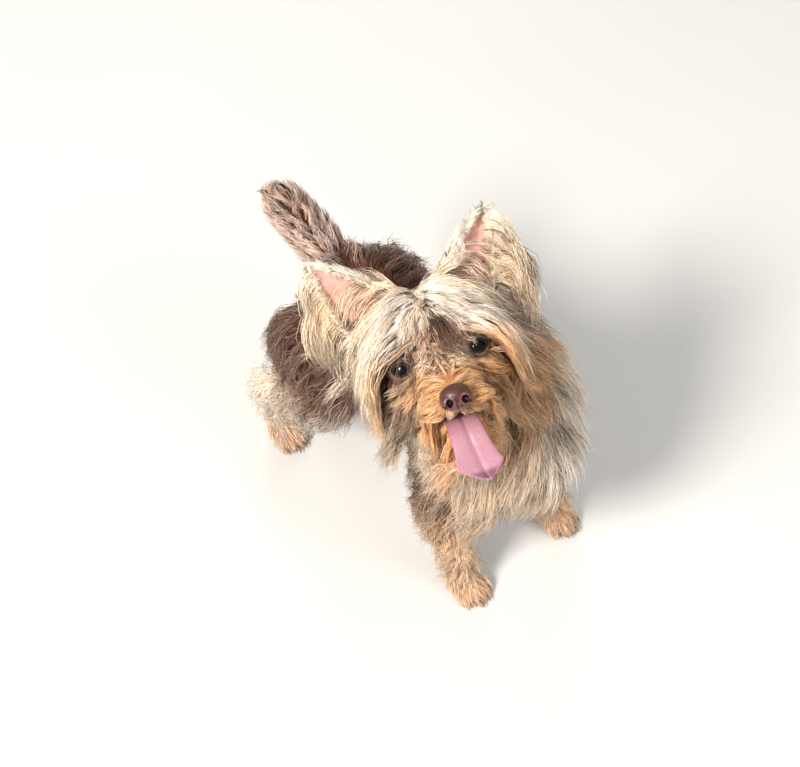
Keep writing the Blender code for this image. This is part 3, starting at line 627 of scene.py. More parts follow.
def ear_front_hair(q, n):
    """Fine hair over the rims of an ear and its tip, and a little over the pink inside."""
    side = side_of(q)
    base, along, look, across = ear_axes(side)
    if n.dot(look) < 0.2 or q.z < 0.018:
        return None
    v = (q - base).dot(along) / EAR_LENGTH
    u = (q - base).dot(across) / ear_half_width(v)
    if abs(u) < 0.72 and v < 0.84:
        return None
    return Hair(along + across * (0.7 if u > 0 else -0.3), 0.007, 0.0010, 0.0, 0.12)


def in_place(rule, matrix):
    """A rule of the body's or the head's own frame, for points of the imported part."""
    back = matrix.inverted()
    turn = matrix.to_3x3()

    def placed(p, n):
        hair = rule(back @ p, turn.transposed() @ n)
        return hair and hair._replace(lie=turn @ hair.lie)

    return placed


STEPS = 9
ROOT_DEPTH = 0.5 * MM


def trace(tree, root, normal, hair):
    """A guide's points from its root to its tip, over the skin."""
    heading = (hair.lie - normal * hair.lie.dot(normal)).normalized()
    heading = (heading + normal * hair.lift).normalized()
    points = [root - normal * ROOT_DEPTH]
    ups = [normal]
    here = root
    for k in range(1, STEPS):
        ahead = here + heading * hair.length / (STEPS - 1)
        hit, up, _, _ = tree.find_nearest(ahead)
        room = hair.rise * (k / (STEPS - 1)) ** 0.8
        if (ahead - hit).dot(up) < room:
            ahead = hit + up * room
        points.append(ahead)
        ups.append(up)
        flat = (hair.lie - up * hair.lie.dot(up)).normalized()
        heading = flat + (ahead - here).normalized() * 1.2 + Vector((0, 0, -hair.sag))
        heading.normalize()
        here = ahead
    return points, ups


def scatter(surface, wanted, count, rng):
    """Random points of the wanted triangles, with their normals."""
    index = np.flatnonzero(wanted)
    share = surface.areas[index] / surface.areas[index].sum()
    picks = rng.choice(index, size=count, p=share)
    weights = rng.dirichlet((1, 1, 1), size=count)
    return (surface.corners[picks] * weights[:, :, None]).sum(axis=1), surface.normals[picks]


def spread_apart(points, spacing):
    """The points kept when each has to be that far from those before it."""
    cells, kept = {}, []
    for k, p in enumerate(points):
        cell = tuple((p // spacing).astype(int))
        around = [
            other
            for i in (-1, 0, 1)
            for j in (-1, 0, 1)
            for m in (-1, 0, 1)
            for other in cells.get((cell[0] + i, cell[1] + j, cell[2] + m), ())
        ]
        if all(np.linalg.norm(p - points[o]) > spacing for o in around):
            cells.setdefault(cell, []).append(k)
            kept.append(k)
    return kept


Guides = namedtuple("Guides", "lines along across up lengths")


def frames_along(lines, ups):
    """Guides as arrays, with smooth frames: along, across and up at each point."""
    lines = np.array(lines)
    for _ in range(2):
        lines[:, 1:-1] = (lines[:, :-2] + 2 * lines[:, 1:-1] + lines[:, 2:]) / 4
    along = np.gradient(lines, axis=1)
    along /= np.maximum(np.linalg.norm(along, axis=2), 1e-9)[..., None]
    up = np.array(ups)
    up = (up + np.roll(up, 1, axis=1)) / 2
    up[:, 0] = np.array(ups)[:, 0]
    up -= along * (up * along).sum(axis=2)[..., None]
    up /= np.maximum(np.linalg.norm(up, axis=2), 1e-9)[..., None]
    lengths = np.linalg.norm(np.diff(lines, axis=1), axis=2).sum(axis=1)
    return Guides(lines, along, np.cross(along, up), up, lengths)


# How far either side of a parting its hair strays
PARTING = 2.0 * MM


def surface_guides(surface, wanted, rule, spacing, rng):
    points, normals = scatter(surface, wanted, 6000, rng)
    lines, ups = [], []
    for k in spread_apart(points, spacing):
        root, normal = Vector(points[k]), Vector(normals[k])
        hair = rule(root + Vector(rng.normal(0, PARTING, 3)), normal)
        if hair:
            hair = hair._replace(length=hair.length * rng.uniform(0.85, 1.12))
            turn = Matrix.Rotation(rng.normal(0, 0.12), 3, normal)
            line, up = trace(surface.tree, root, normal, hair._replace(lie=turn @ hair.lie))
            lines.append(line)
            ups.append(up)
    return frames_along(lines, ups)


# How a coat is made of strands: rings on each, width, how far they gather into locks, the size and
# number of waves, loose hairs' share, how far they puff out
Strands = namedtuple("Strands", "rings width clump wave turns loose puff")
LONG = Strands(4, 0.46 * MM, 0.72, 0.045, 1.1, 0.06, 0.0032)
WAVY = Strands(4, 0.52 * MM, 0.82, 0.120, 1.5, 0.07, 0.0014)
SHORT = Strands(3, 0.40 * MM, 0.45, 0.030, 0.7, 0.05, 0.0008)


def along_guides(guides, owner, share):
    """The guides' points and frames at shares of their length, for many strands at once."""
    steps = np.clip(share, 0, None) * (STEPS - 1)
    low = np.clip(np.floor(steps).astype(int), 0, STEPS - 2)
    part = (steps - low)[..., None]
    owner = owner[:, None]
    found = []
    for values in (guides.lines, guides.along, guides.across, guides.up):
        found.append(values[owner, low] * (1 - part) + values[owner, low + 1] * part)
    return found


def grow_strands(guides, owner, roots, style, rng):
    """Points, widths and frames of strands that follow their guides and gather to their tips."""
    count = len(roots)
    t = np.linspace(0, 1, style.rings + 1)[None, :]
    reach = rng.uniform(0.70, 1.08, (count, 1))
    lines, along, across, up = along_guides(guides, owner, t * reach)
    offset = roots - guides.lines[owner, 0]
    forward = (offset * guides.along[owner, 0]).sum(axis=1)[:, None]
    sideways = (offset * guides.across[owner, 0]).sum(axis=1)[:, None]
    outward = (offset * guides.up[owner, 0]).sum(axis=1)[:, None]
    loose = rng.random((count, 1)) < style.loose
    clump = np.where(loose, 0.1, style.clump * rng.uniform(0.75, 1.15, (count, 1)))
    kept = 1 - clump * t ** 0.75
    length = guides.lengths[owner][:, None]
    phase = rng.uniform(0, 2 * math.pi, len(guides.lines))[owner][:, None] + rng.normal(0, 0.7, (count, 1))
    swing = style.wave * length * t * rng.uniform(0.5, 1.5, (count, 1))
    angle = 2 * math.pi * style.turns * rng.uniform(0.85, 1.15, (count, 1)) * t + phase
    stray = np.clip(rng.normal(0, 1, (count, 1)), -1.6, 1.6) * np.where(loose, 0.10, 0.035) * length * t ** 1.4
    lift = np.clip(abs(rng.normal(0, 1, (count, 1))), 0, 2) * style.puff * np.where(loose, 1.5, 1.0) * t
    a = (forward * kept)[..., None]
    c = (sideways * kept + swing * (np.sin(angle) - np.sin(phase)) + stray)[..., None]
    u = (outward * (1 - t) + lift + 0.5 * swing * (np.cos(angle) - np.cos(phase)))[..., None]
    points = lines + along * a + across * c + up * u
    points[..., 2] = np.maximum(points[..., 2], 0.5 * MM)
    width = style.width * np.where(loose, 0.75, 1.0) * rng.uniform(0.75, 1.2, (count, 1))
    width = width * (0.6 + 0.4 * np.minimum(1, 5 * t)) * (1 - 0.8 * t ** 2.5)
    return points, width, across, up


def strand_faces(rings):
    """The triangles of one strand: three-sided rings, a cap at the root and a point at the tip."""
    faces = [(0, 1, 2)]
    for k in range(rings - 1):
        low, high = 3 * k, 3 * k + 3
        for j in range(3):
            n = (j + 1) % 3
            faces.append((low + n, low + j, high + j))
            faces.append((low + n, high + j, high + n))
    last = 3 * (rings - 1)
    faces += [(last + (j + 1) % 3, last + j, 3 * rings) for j in range(3)]
    return np.array(faces)


STRAND_HEIGHT = 0.55
PATCH = 0.003


def strand_mesh(name, points, width, across, up, colours, places):
    """One mesh of many strands, each with its colours and its own small patch of the map."""
    count, rings = len(points), points.shape[1] - 1
    half = across[:, :rings] * width[:, :rings, None] / 2
    high = up[:, :rings] * width[:, :rings, None] * STRAND_HEIGHT
    middle = points[:, :rings]
    ring = np.stack([middle + half - high / 3, middle + high * 2 / 3, middle - half - high / 3], axis=2)
    vertices = np.concatenate([ring.reshape(count, rings * 3, 3), points[:, rings:]], axis=1)
    per = rings * 3 + 1
    faces = strand_faces(rings)[None] + (np.arange(count) * per)[:, None, None]
    mesh = bpy.data.meshes.new(name)
    mesh.vertices.add(count * per)
    mesh.vertices.foreach_set("co", vertices.astype(np.float32).ravel())
    faces = faces.reshape(-1, 3)
    mesh.loops.add(faces.size)
    mesh.loops.foreach_set("vertex_index", faces.astype(np.int32).ravel())
    mesh.polygons.add(len(faces))
    mesh.polygons.foreach_set("loop_start", np.arange(0, faces.size, 3, dtype=np.int32))
    mesh.polygons.foreach_set("use_smooth", np.ones(len(faces), dtype=bool))
    mesh.update()
    t = np.append(np.repeat(np.arange(rings) / rings, 3), 1)
    tint = mesh.attributes.new("tint", "FLOAT_COLOR", "POINT")
    rows = np.ones((count, per, 4), dtype=np.float32)
    rows[..., :3] = colours[0][:, None] + (colours[1] - colours[0])[:, None] * t[None, :, None]
    tint.data.foreach_set("color", rows.ravel())
    aside = np.append(np.tile((0.0, 0.5, 1.0), rings), 0.5)
    patch = places[:, None] + np.stack([aside, t], axis=1)[None] * PATCH
    uv = mesh.uv_layers.new(name="OFBake", do_init=False)
    uv.uv.foreach_set("vector", patch.reshape(-1, 2)[faces.ravel()].astype(np.float32).ravel())
    obj = bpy.data.objects.new(name, mesh)
    bpy.context.scene.collection.objects.link(obj)
    return obj


def unrolled(roots, axis):
    """Places of roots on the skin unrolled round an axis (point, direction), filling the map."""
    centre, direction = (np.array(v) for v in axis)
    direction = direction / np.linalg.norm(direction)
    rel = roots - centre
    height = rel @ direction
    flat = rel - height[:, None] * direction
    middle = flat.mean(axis=0)
    middle = middle / max(np.linalg.norm(middle), 1e-9)
    angle = np.arctan2(flat @ np.cross(direction, middle), flat @ middle)
    place = np.stack([angle, height], axis=1)
    low, high = place.min(axis=0), place.max(axis=0)
    return 0.01 + (0.98 - PATCH) * (place - low) / (high - low)


# What hair keeps clear of, in the head frame: start, end, radius, share of the strands let through
CLEAR = [
    *(
        (eye_centre(s) + facing(s) * 0.008, eye_centre(s) + facing(s) * 0.034, 0.0056, 0.0)
        for s in (RIGHT, LEFT)
    ),
    (Vector((0, -0.0375, -0.0130)), Vector((0, -0.055, -0.0130)), 0.0080, 0.0),
    (Vector((-0.0120, -0.026, -0.0285)), Vector((0.0130, -0.026, -0.0285)), 0.0034, 0.06),
    (Vector((0.0005, -0.0345, -0.0380)), Vector((0.002, -0.045, -0.0560)), 0.0095, 0.0),
    (Vector((0.0015, -0.040, -0.0420)), Vector((0.002, -0.050, -0.0600)), 0.0110, 0.0),
]


def keeps_clear(points, rng):
    """Which strands leave the eyes, the nose and the tongue free."""
    q = in_frame(HEAD, points.reshape(-1, 3)).reshape(points.shape)
    q = np.concatenate([q[:, :-1] + (q[:, 1:] - q[:, :-1]) * share for share in (0, 0.33, 0.67, 1)], axis=1)
    free = np.ones(len(points), dtype=bool)
    for start, end, radius, let in CLEAR:
        start, end = np.array(start), np.array(end)
        share = np.clip(((q - start) @ (end - start)) / ((end - start) @ (end - start)), 0, 1)
        near = np.linalg.norm(q - start - share[..., None] * (end - start), axis=2)
        free &= (near.min(axis=1) > radius) | (rng.random(len(points)) < let)
    return free


# What a hair's root and tip are of its colour: painted shade makes the root darker and warmer, and painted light
# makes the tip brighter
PAINTED_SHADE_AT_ROOTS = np.array((0.56, 0.40, 0.33))
FAINT_SHADE_AT_ROOTS = np.array((1.00, 0.93, 0.86))
CHEST_SHADE_AT_ROOTS = np.array((0.60, 0.47, 0.38))
PAINTED_LIGHT_AT_TIPS = np.array((1.20, 1.19, 1.18))


def dark_shares(p, q, on_head):
    """How much of the hair is dark: streaks in the sides of the head's long hair, few elsewhere."""
    x, y, z = q.T
    right = ramp(-0.012, -0.022, x) * ramp(-0.004, 0.004, y)
    left = ramp(0.010, 0.020, x) * ramp(0.012, 0.030, y)
    top = ramp(0.004, 0.016, z)
    share = 0.05 + 0.42 * right + 0.34 * left + 0.06 * top * (1 - right) * (1 - left)
    on_chest = (p[:, 1] < -0.045) & (p[:, 2] > 0.07)
    on_leg = p[:, 2] < 0.08
    return np.where(on_head, share, np.where(on_chest, 0.11, np.where(on_leg, 0.0, 0.06)))


def hair_colours(roots, tips, owner, rng):
    """Each strand's colour at its root and at its tip: the markings, varied by lock and by strand, with painted shade
    at the root and painted light at the tip.
    """
    q = in_frame(HEAD, roots)
    p = in_frame(BODY, roots)
    locks = rng.normal(0, 0.24, owner.max() + 1)[owner] + rng.normal(0, 0.28, len(roots))
    vary = np.exp(locks)[:, None] * (1 + rng.normal(0, 0.05, (len(roots), 1)) * np.array((0.5, 0.0, -1.0)))
    on_head = np.linalg.norm(q - (0, 0.014, -0.004), axis=1) < 0.056
    dark_share = dark_shares(p, q, on_head)
    dark_lock = rng.random(owner.max() + 1)[owner] < dark_share * 0.7
    dark = (dark_lock & (rng.random(len(roots)) < 0.8)) | (rng.random(len(roots)) < dark_share * 0.5)
    on_chest = (p[:, 1] < -0.05) & (p[:, 2] > 0.085)
    on_tail = (p[:, 2] > 0.17) & (p[:, 1] > 0.08)
    on_top = on_head & (q[:, 2] > 0.008) & (q[:, 1] > 0.004)
    on_hock = (p[:, 1] > 0.04) & (p[:, 2] < 0.08)
    # Pale strands: partly lighter hair, partly painted highlights, most on the crown, the hocks and the chest
    pale_and_highlit_share = np.where(on_head | on_tail | on_chest | on_hock, 0.32, 0.12)
    pale_and_highlit_share = np.where(on_top | on_hock | on_chest, 0.60, pale_and_highlit_share)
    pale_and_highlit_share = np.where(near_eyes(q) < 0.016, 0.05, pale_and_highlit_share)
    pale = (rng.random(len(roots)) < pale_and_highlit_share) & ~dark
    on_ear = (near_ears(q) < 0.022) & (q[:, 2] > 0.020)
    on_shin = (p[:, 1] < -0.03) & (p[:, 2] < 0.07)
    light = on_top | on_ear | on_hock | on_shin
    # Painted shade at the roots: fainter on the crown, ears, hocks and shins, middling on the chest
    shade_at_roots = np.where(light[:, None], FAINT_SHADE_AT_ROOTS, np.where(on_chest[:, None], CHEST_SHADE_AT_ROOTS, PAINTED_SHADE_AT_ROOTS))
    ends = []
    for places, shade in ((roots, shade_at_roots), (tips, PAINTED_LIGHT_AT_TIPS)):
        colour = markings(places, roots) * vary
        colour = np.where(dark[:, None], colour * 0.16 + DARK_HAIR * 0.8, colour)
        # Pale strands drawn towards white, partly as painted highlights
        colour = np.where(pale[:, None], colour * 1.15 + 0.14, colour)
        # Painted shade at the root and painted light at the tip
        colour = colour * shade
        colour = colour * np.minimum(1, 0.93 / colour.max(axis=1))[:, None]
        ends.append(np.maximum(colour, 0.008))
    return ends


def brow_hair(q, n):
    """Short hair over the middle of the forehead, forwards and down, and backwards behind the crown."""
    if q.y > 0.024:
        return Hair(Vector((0.5 * side_of(q), 0.6 if q.y > CROWN.y else -0.6, -0.2)), 0.012, 0.0018, 0.2, 0.25)
    return Hair(Vector((0.5 * side_of(q) * min(1, abs(q.x) / 0.008), -0.2, -1)), 0.0095, 0.0026, 0.0, 0.3)


def spine_hair(p, n):
    """Short hair over the parting along the spine and under the tail, towards the tail and outwards."""
    if n.z < 0.3:
        return Hair(Vector((0.35 * side_of(p), 0.1, -1)), 0.020, 0.0032, 0.3, 0.35)
    return Hair(Vector((0.7 * side_of(p), 0.8, -0.1)), 0.017, 0.0026, 0.3, 0.35)


def coat_object(name, points, width, across, up, roots, owner, axis, material, slot, rng):
    free = keeps_clear(points, rng)
    colours = hair_colours(roots, points[:, -1], owner, rng)
    places = unrolled(roots[free], axis)
    obj = strand_mesh(
        name, points[free], width[free], across[free], up[free], [c[free] for c in colours], places
    )
    obj.data.materials.append(material)
    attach(obj, "root")
    return obj


def grow_coat(name, surface, wanted, rule, style, spacing, count, axis, material, slot, seed):
    """One piece of coat over the wanted triangles of the skin."""
    rng = np.random.default_rng(seed)
    guides = surface_guides(surface, wanted, rule, spacing, rng)
    tree = KDTree(len(guides.lines))
    for k, line in enumerate(guides.lines):
        tree.insert(line[0], k)
    tree.balance()
    roots, normals = scatter(surface, wanted, count, rng)
    found = [tree.find(p) for p in roots]
    owner = np.array([f[1] for f in found])
    close = np.array([f[2] for f in found]) < 1.5 * spacing
    roots, normals, owner = roots[close], normals[close], owner[close]
    roots = roots - normals * ROOT_DEPTH
    made = grow_strands(guides, owner, roots, style, rng)
    return coat_object(name, *made, roots, owner, axis, material, slot, rng)


def link(tree, start, end):
    tree.links.new(start, end)


def new_material(name):
    material = bpy.data.materials.new(name)
    material.use_nodes = True
    return material, material.node_tree, material.node_tree.nodes["Principled BSDF"]


def noise(tree, scale, detail=4.0, roughness=0.6):
    """A noise in the piece's own metres."""
    place = tree.nodes.new("ShaderNodeTexCoord")
    texture = tree.nodes.new("ShaderNodeTexNoise")
    texture.inputs["Scale"].default_value = scale
    texture.inputs["Detail"].default_value = detail
    texture.inputs["Roughness"].default_value = roughness
    link(tree, place.outputs["Object"], texture.inputs["Vector"])
    return texture.outputs["Fac"]


def between(tree, value, low, high):
    """A value from 0 to 1 stretched between two numbers."""
    stretch = tree.nodes.new("ShaderNodeMapRange")
    stretch.inputs["From Min"].default_value = 0.3
    stretch.inputs["From Max"].default_value = 0.7
    stretch.inputs["To Min"].default_value = low
    stretch.inputs["To Max"].default_value = high
    link(tree, value, stretch.inputs["Value"])
    return stretch.outputs["Result"]


def shaded(tree, colour, factor):
    """A colour times a grey factor."""
    times = tree.nodes.new("ShaderNodeVectorMath")
    times.operation = "SCALE"
    link(tree, colour, times.inputs[0])
    link(tree, factor, times.inputs["Scale"])
    return times.outputs["Vector"]


def bump(tree, shader, height, distance, strength=1.0):
    node = tree.nodes.new("ShaderNodeBump")
    node.inputs["Distance"].default_value = distance
    node.inputs["Strength"].default_value = strength
    link(tree, height, node.inputs["Height"])
    link(tree, node.outputs["Normal"], shader.inputs["Normal"])


def tinted(tree):
    """The colour that a mesh carries at its points."""
    attribute = tree.nodes.new("ShaderNodeAttribute")
    attribute.attribute_name = "tint"
    return attribute.outputs["Color"]


def hair_material(name, roughness):
    material, tree, shader = new_material(name)
    streaks = between(tree, noise(tree, 650), 0.82, 1.18)
    patches = between(tree, noise(tree, 70, 2.0), 0.90, 1.10)
    link(tree, shaded(tree, shaded(tree, tinted(tree), streaks), patches), shader.inputs["Base Color"])
    shader.inputs["Roughness"].default_value = roughness
    shader.inputs["Specular IOR Level"].default_value = 0.30
    shader.inputs["Specular Tint"].default_value = (1.0, 0.84, 0.68, 1)
    return material


def skin_material():
    material, tree, shader = new_material("skin")
    mottled = between(tree, noise(tree, 420), 0.80, 1.15)
    link(tree, shaded(tree, tinted(tree), mottled), shader.inputs["Base Color"])
    shader.inputs["Roughness"].default_value = 0.62
    shader.inputs["Subsurface Weight"].default_value = 0.08
    shader.inputs["Subsurface Radius"].default_value = (0.002, 0.0008, 0.0005)
    bump(tree, shader, noise(tree, 1500), 0.15 * MM, 0.6)
    return material


def tint_points(obj, colours):
    tint = obj.data.attributes.new("tint", "FLOAT_COLOR", "POINT")
    rows = np.ones((len(colours), 4), dtype=np.float32)
    rows[:, :3] = colours
    tint.data.foreach_set("color", rows.ravel())


def colour_skin(skin):
    """The markings, darkened as painted shade under the coat, with pink ears and dark lips, lids and pads."""
    points = read_vertices(skin.data)
    # Painted shade: the skin between the hairs is darkened as the hairs' roots are
    colour = markings(points) * PAINTED_SHADE_AT_ROOTS * 0.95
    q = in_frame(HEAD, points)
    normals = read_vertices(skin.data, "normal") @ np.array(HEAD)[:3, :3]
    for side in (RIGHT, LEFT):
        base, along, look, across = (np.array(v) for v in ear_axes(side))
        v = ((q - base) @ along) / EAR_LENGTH
        u = ((q - base) @ across) / EAR_HALF_WIDTH
        on_ear = ramp(-0.05, 0.12, v) * ((q - base) @ look > -0.014) * (abs(q[:, 0]) > 0.016) * (side * q[:, 0] > 0)
        inside = on_ear * ramp(-0.1, 0.3, normals @ look)
        colour = mix(colour, CREAM * 0.95, on_ear)
        edge = ramp(0.62, 0.95, abs(u) / np.maximum(1 - np.clip(v, 0, 1) ** 1.7, 0.05) ** 0.9)
        colour = mix(colour, EAR_PINK, inside * (1 - edge) * ramp(0.96, 0.82, v))
        # Painted shade: darker pink deep in the ear's hollow, towards its base and middle
        colour = mix(colour, EAR_PINK * 0.55, inside * ramp(0.40, 0.05, abs(u)) * ramp(0.55, 0.0, v) * 0.7)
    mouth = ramp(0.0036, 0.0020, abs(q[:, 2] + 0.0275)) * ramp(0.012, 0.004, q[:, 1])
    colour = mix(colour, LIP, mouth)
    colour = mix(colour, BROWN * 0.6, ramp(0.0120, 0.0100, near_eyes(q)))
    colour = mix(colour, BROWN * 0.45, ramp(0.0098, 0.0090, near_eyes(q)))
    soles = ramp(0.0035, 0.0015, in_frame(BODY, points)[:, 2])
    tint_points(skin, mix(colour, LIP * 0.8, soles))


def smooth_shade(obj):
    obj.data.polygons.foreach_set("use_smooth", np.ones(len(obj.data.polygons), dtype=bool))
    obj.data.update()


def dress_skin():
    skin = make_skin()
    skin.name = "skin"
    colour_skin(skin)
    smooth_shade(skin)
    skin.data.materials.clear()
    skin.data.materials.append(skin_material())
    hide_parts(*FLESH)
    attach(skin, "root")
    return skin


def make_eye(side, word):
    """A glossy eyeball with a bulging cornea, a brown iris and a black pupil."""
    bm = bmesh.new()
    bmesh.ops.create_uvsphere(bm, u_segments=64, v_segments=48, radius=EYE_RADIUS)
    for vert in bm.verts:
        bulge = max(0.0, vert.co.z / EYE_RADIUS - 0.86) / 0.14
        vert.co.z += 0.7 * MM * bulge * (2 - bulge)
    eye = mesh_object(f"eyeball_{word}", bm)
    look = HEAD.to_3x3() @ facing(side)
    eye.matrix_world = Matrix.Translation(HEAD @ eye_centre(side)) @ look.to_track_quat("Z", "Y").to_matrix().to_4x4()
    smooth_shade(eye)
    eye.data.materials.append(eye_material())
    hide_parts(f"eye_{word}")
    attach(eye, "root")


PUPIL = 2.7 * MM
IRIS = 5.0 * MM


def eye_material():
    if bpy.data.materials.get("eye"):
        return bpy.data.materials["eye"]
    material, tree, shader = new_material("eye")
    place = tree.nodes.new("ShaderNodeTexCoord")
    flat = tree.nodes.new("ShaderNodeVectorMath")
    flat.operation = "MULTIPLY"
    flat.inputs[1].default_value = (1, 1, 0)
    link(tree, place.outputs["Object"], flat.inputs[0])
    reach = tree.nodes.new("ShaderNodeVectorMath")
    reach.operation = "LENGTH"
    link(tree, flat.outputs["Vector"], reach.inputs[0])
    rings = tree.nodes.new("ShaderNodeMapRange")
    rings.inputs["From Max"].default_value = EYE_RADIUS
    link(tree, reach.outputs["Value"], rings.inputs["Value"])
    colours = tree.nodes.new("ShaderNodeValToRGB")
    stops = colours.color_ramp.elements
    stops[0].position = 0
    stops[0].color = (0.002, 0.0015, 0.0015, 1)
    stops[1].position = 1
    stops[1].color = (0.060, 0.030, 0.020, 1)
    for at, colour in (
        (PUPIL / EYE_RADIUS, (0.002, 0.0015, 0.0015, 1)),
        (PUPIL / EYE_RADIUS + 0.05, (0.016, 0.006, 0.003, 1)),
        (IRIS / EYE_RADIUS - 0.06, (0.034, 0.013, 0.006, 1)),
        (IRIS / EYE_RADIUS + 0.03, (0.010, 0.005, 0.004, 1)),
        (IRIS / EYE_RADIUS + 0.14, (0.050, 0.026, 0.019, 1)),
    ):
        stops.new(at).color = colour
    link(tree, rings.outputs["Result"], colours.inputs["Fac"])
    fibres = between(tree, noise(tree, 1400), 0.6, 1.4)
    link(tree, shaded(tree, colours.outputs["Color"], fibres), shader.inputs["Base Color"])
    shader.inputs["Roughness"].default_value = 0.30
    shader.inputs["Specular IOR Level"].default_value = 0.10
    shader.inputs["Coat Weight"].default_value = 0.4
    shader.inputs["Coat Roughness"].default_value = 0.02
    return material


def make_lids(side, word):
    """The dark rims of both lids, as one rounded ring that hugs the eyeball."""
    look, across, up = eye_axes(side)
    steps, around = 72, 12
    bm = bmesh.new()
    rings = []
    for k in range(steps):
        turn = 2 * math.pi * k / steps
        droop = 0.10 * math.cos(turn) ** 2
        sideways = LIDS_ACROSS * math.cos(turn) * (1 + 0.10 * math.cos(turn) ** 4)
        upward = LIDS_UP * (math.sin(turn) * (0.92 if math.sin(turn) > 0 else 0.86) - droop * 0.4)
        out = look + across * math.tan(sideways) + up * math.tan(upward)
        out.normalize()
        tangent = (across * -math.sin(turn) + up * math.cos(turn)).normalized()
        inward = out.cross(tangent).normalized()
        thick = (0.85 if math.sin(turn) > 0 else 0.65) * MM
        centre = eye_centre(side) + out * LID_RADIUS
        ring = []
        for j in range(around):
            a = 2 * math.pi * j / around
            ring.append(bm.verts.new(centre + out * math.cos(a) * thick * 0.75 + inward * math.sin(a) * thick))
        rings.append(ring)
    for k in range(steps):
        low, high = rings[k], rings[(k + 1) % steps]
        for j in range(around):
            n = (j + 1) % around
            bm.faces.new((low[j], low[n], high[n], high[j]))
    bmesh.ops.recalc_face_normals(bm, faces=bm.faces)
    bm.transform(HEAD)
    lids = mesh_object(f"lids_{word}", bm)
    smooth_shade(lids)
    lids.data.materials.append(plain_wet("lid_rim", (0.010, 0.005, 0.004), 0.70, 1800, 0.10 * MM, 0.0))
    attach(lids, "root")


def plain_wet(name, colour, roughness, grain, height, gloss=0.35):
    """Bare moist skin: mottled colour and a fine grain."""
    if bpy.data.materials.get(name):
        return bpy.data.materials[name]
    material, tree, shader = new_material(name)
    base = tree.nodes.new("ShaderNodeRGB")
    base.outputs["Color"].default_value = (*colour, 1)
    mottled = between(tree, noise(tree, grain * 0.3), 0.75, 1.25)
    link(tree, shaded(tree, base.outputs["Color"], mottled), shader.inputs["Base Color"])
    shader.inputs["Roughness"].default_value = roughness
    shader.inputs["Coat Weight"].default_value = gloss
    shader.inputs["Coat Roughness"].default_value = 0.18
    bump(tree, shader, noise(tree, grain), height)
    return material


def nose_material():
    material, tree, shader = new_material("nose")
    place = tree.nodes.new("ShaderNodeTexCoord")
    cells = tree.nodes.new("ShaderNodeTexVoronoi")
    cells.inputs["Scale"].default_value = 1500
    link(tree, place.outputs["Object"], cells.inputs["Vector"])
    mottled = between(tree, noise(tree, 300), 0.80, 1.25)
    link(tree, shaded(tree, tinted(tree), mottled), shader.inputs["Base Color"])
    shader.inputs["Roughness"].default_value = 0.36
    shader.inputs["Coat Weight"].default_value = 0.30
    shader.inputs["Coat Roughness"].default_value = 0.22
    bump(tree, shader, cells.outputs["Distance"], 0.25 * MM, 0.7)
    return material


NOSE_MIDDLE = np.array((0, -0.0300, -0.0140))
NOSTRIL = (0.0042, -0.0378, -0.0143)
NOSTRIL_RADII = (0.0019, 0.0044, 0.0022)


def make_nose():
    """The bare nose: two rounded wings, comma nostrils and a groove down to the lip."""
    bm = bmesh.new()
    add_egg(bm, (0, -0.0312, -0.0122), (0.0082, 0.0062, 0.0060), level=4)
    add_egg(bm, (0, -0.0322, -0.0168), (0.0048, 0.0048, 0.0042), level=4)
    for side in (RIGHT, LEFT):
        add_egg(bm, (side * 0.0045, -0.0328, -0.0140), (0.0042, 0.0050, 0.0046), level=4)
    nose = remesh(mesh_object("nose_pad", bm), 0.30 * MM, 8)
    for side in (RIGHT, LEFT):
        bm = bmesh.new()
        add_egg(bm, (side * NOSTRIL[0], *NOSTRIL[1:]), NOSTRIL_RADII)
        add_egg(bm, (side * 0.0069, -0.0364, -0.0160), (0.0028, 0.0036, 0.0009), (0, side * 25, 0))
        cutter = remesh(mesh_object("cutter", bm), 0.2 * MM, 2)
        cut = nose.modifiers.new("Cut", "BOOLEAN")
        cut.operation = "DIFFERENCE"
        cut.solver = "MANIFOLD"
        cut.object = cutter
        apply_modifiers(nose)
        bpy.data.objects.remove(cutter)
    remesh(nose, 0.28 * MM, 3)
    points = read_vertices(nose.data)
    groove = ramp(0.8 * MM, 0, abs(points[:, 0])) * ramp(-0.0120, -0.0150, points[:, 2])
    points[:, 1] += groove * 0.9 * MM * (points[:, 1] < -0.033)
    apart = (np.abs(points) * (1, 0, 0) + points * (0, 1, 1) - NOSTRIL) / NOSTRIL_RADII
    hollow = np.linalg.norm(apart, axis=1)
    brown = np.tile(np.array((0.060, 0.019, 0.016)), (len(points), 1))
    rim = mix(brown, np.array((0.230, 0.085, 0.075)), 0.6 * ramp(1.75, 1.25, hollow))
    low = mix(rim, np.array((0.300, 0.140, 0.110)), 0.5 * ramp(-0.0165, -0.0200, points[:, 2]))
    # Painted shade: the inside of each nostril near black
    tint_points(nose, mix(low, np.array((0.012, 0.004, 0.004)), ramp(1.22, 1.04, hollow)))
    points = NOSE_MIDDLE + (points - NOSE_MIDDLE) * 0.94
    turn = np.array(HEAD)
    nose.data.vertices.foreach_set("co", (points @ turn[:3, :3].T + turn[:3, 3]).ravel())
    smooth_shade(nose)
    nose.data.materials.clear()
    nose.data.materials.append(nose_material())
    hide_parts("nose")
    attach(nose, "root")


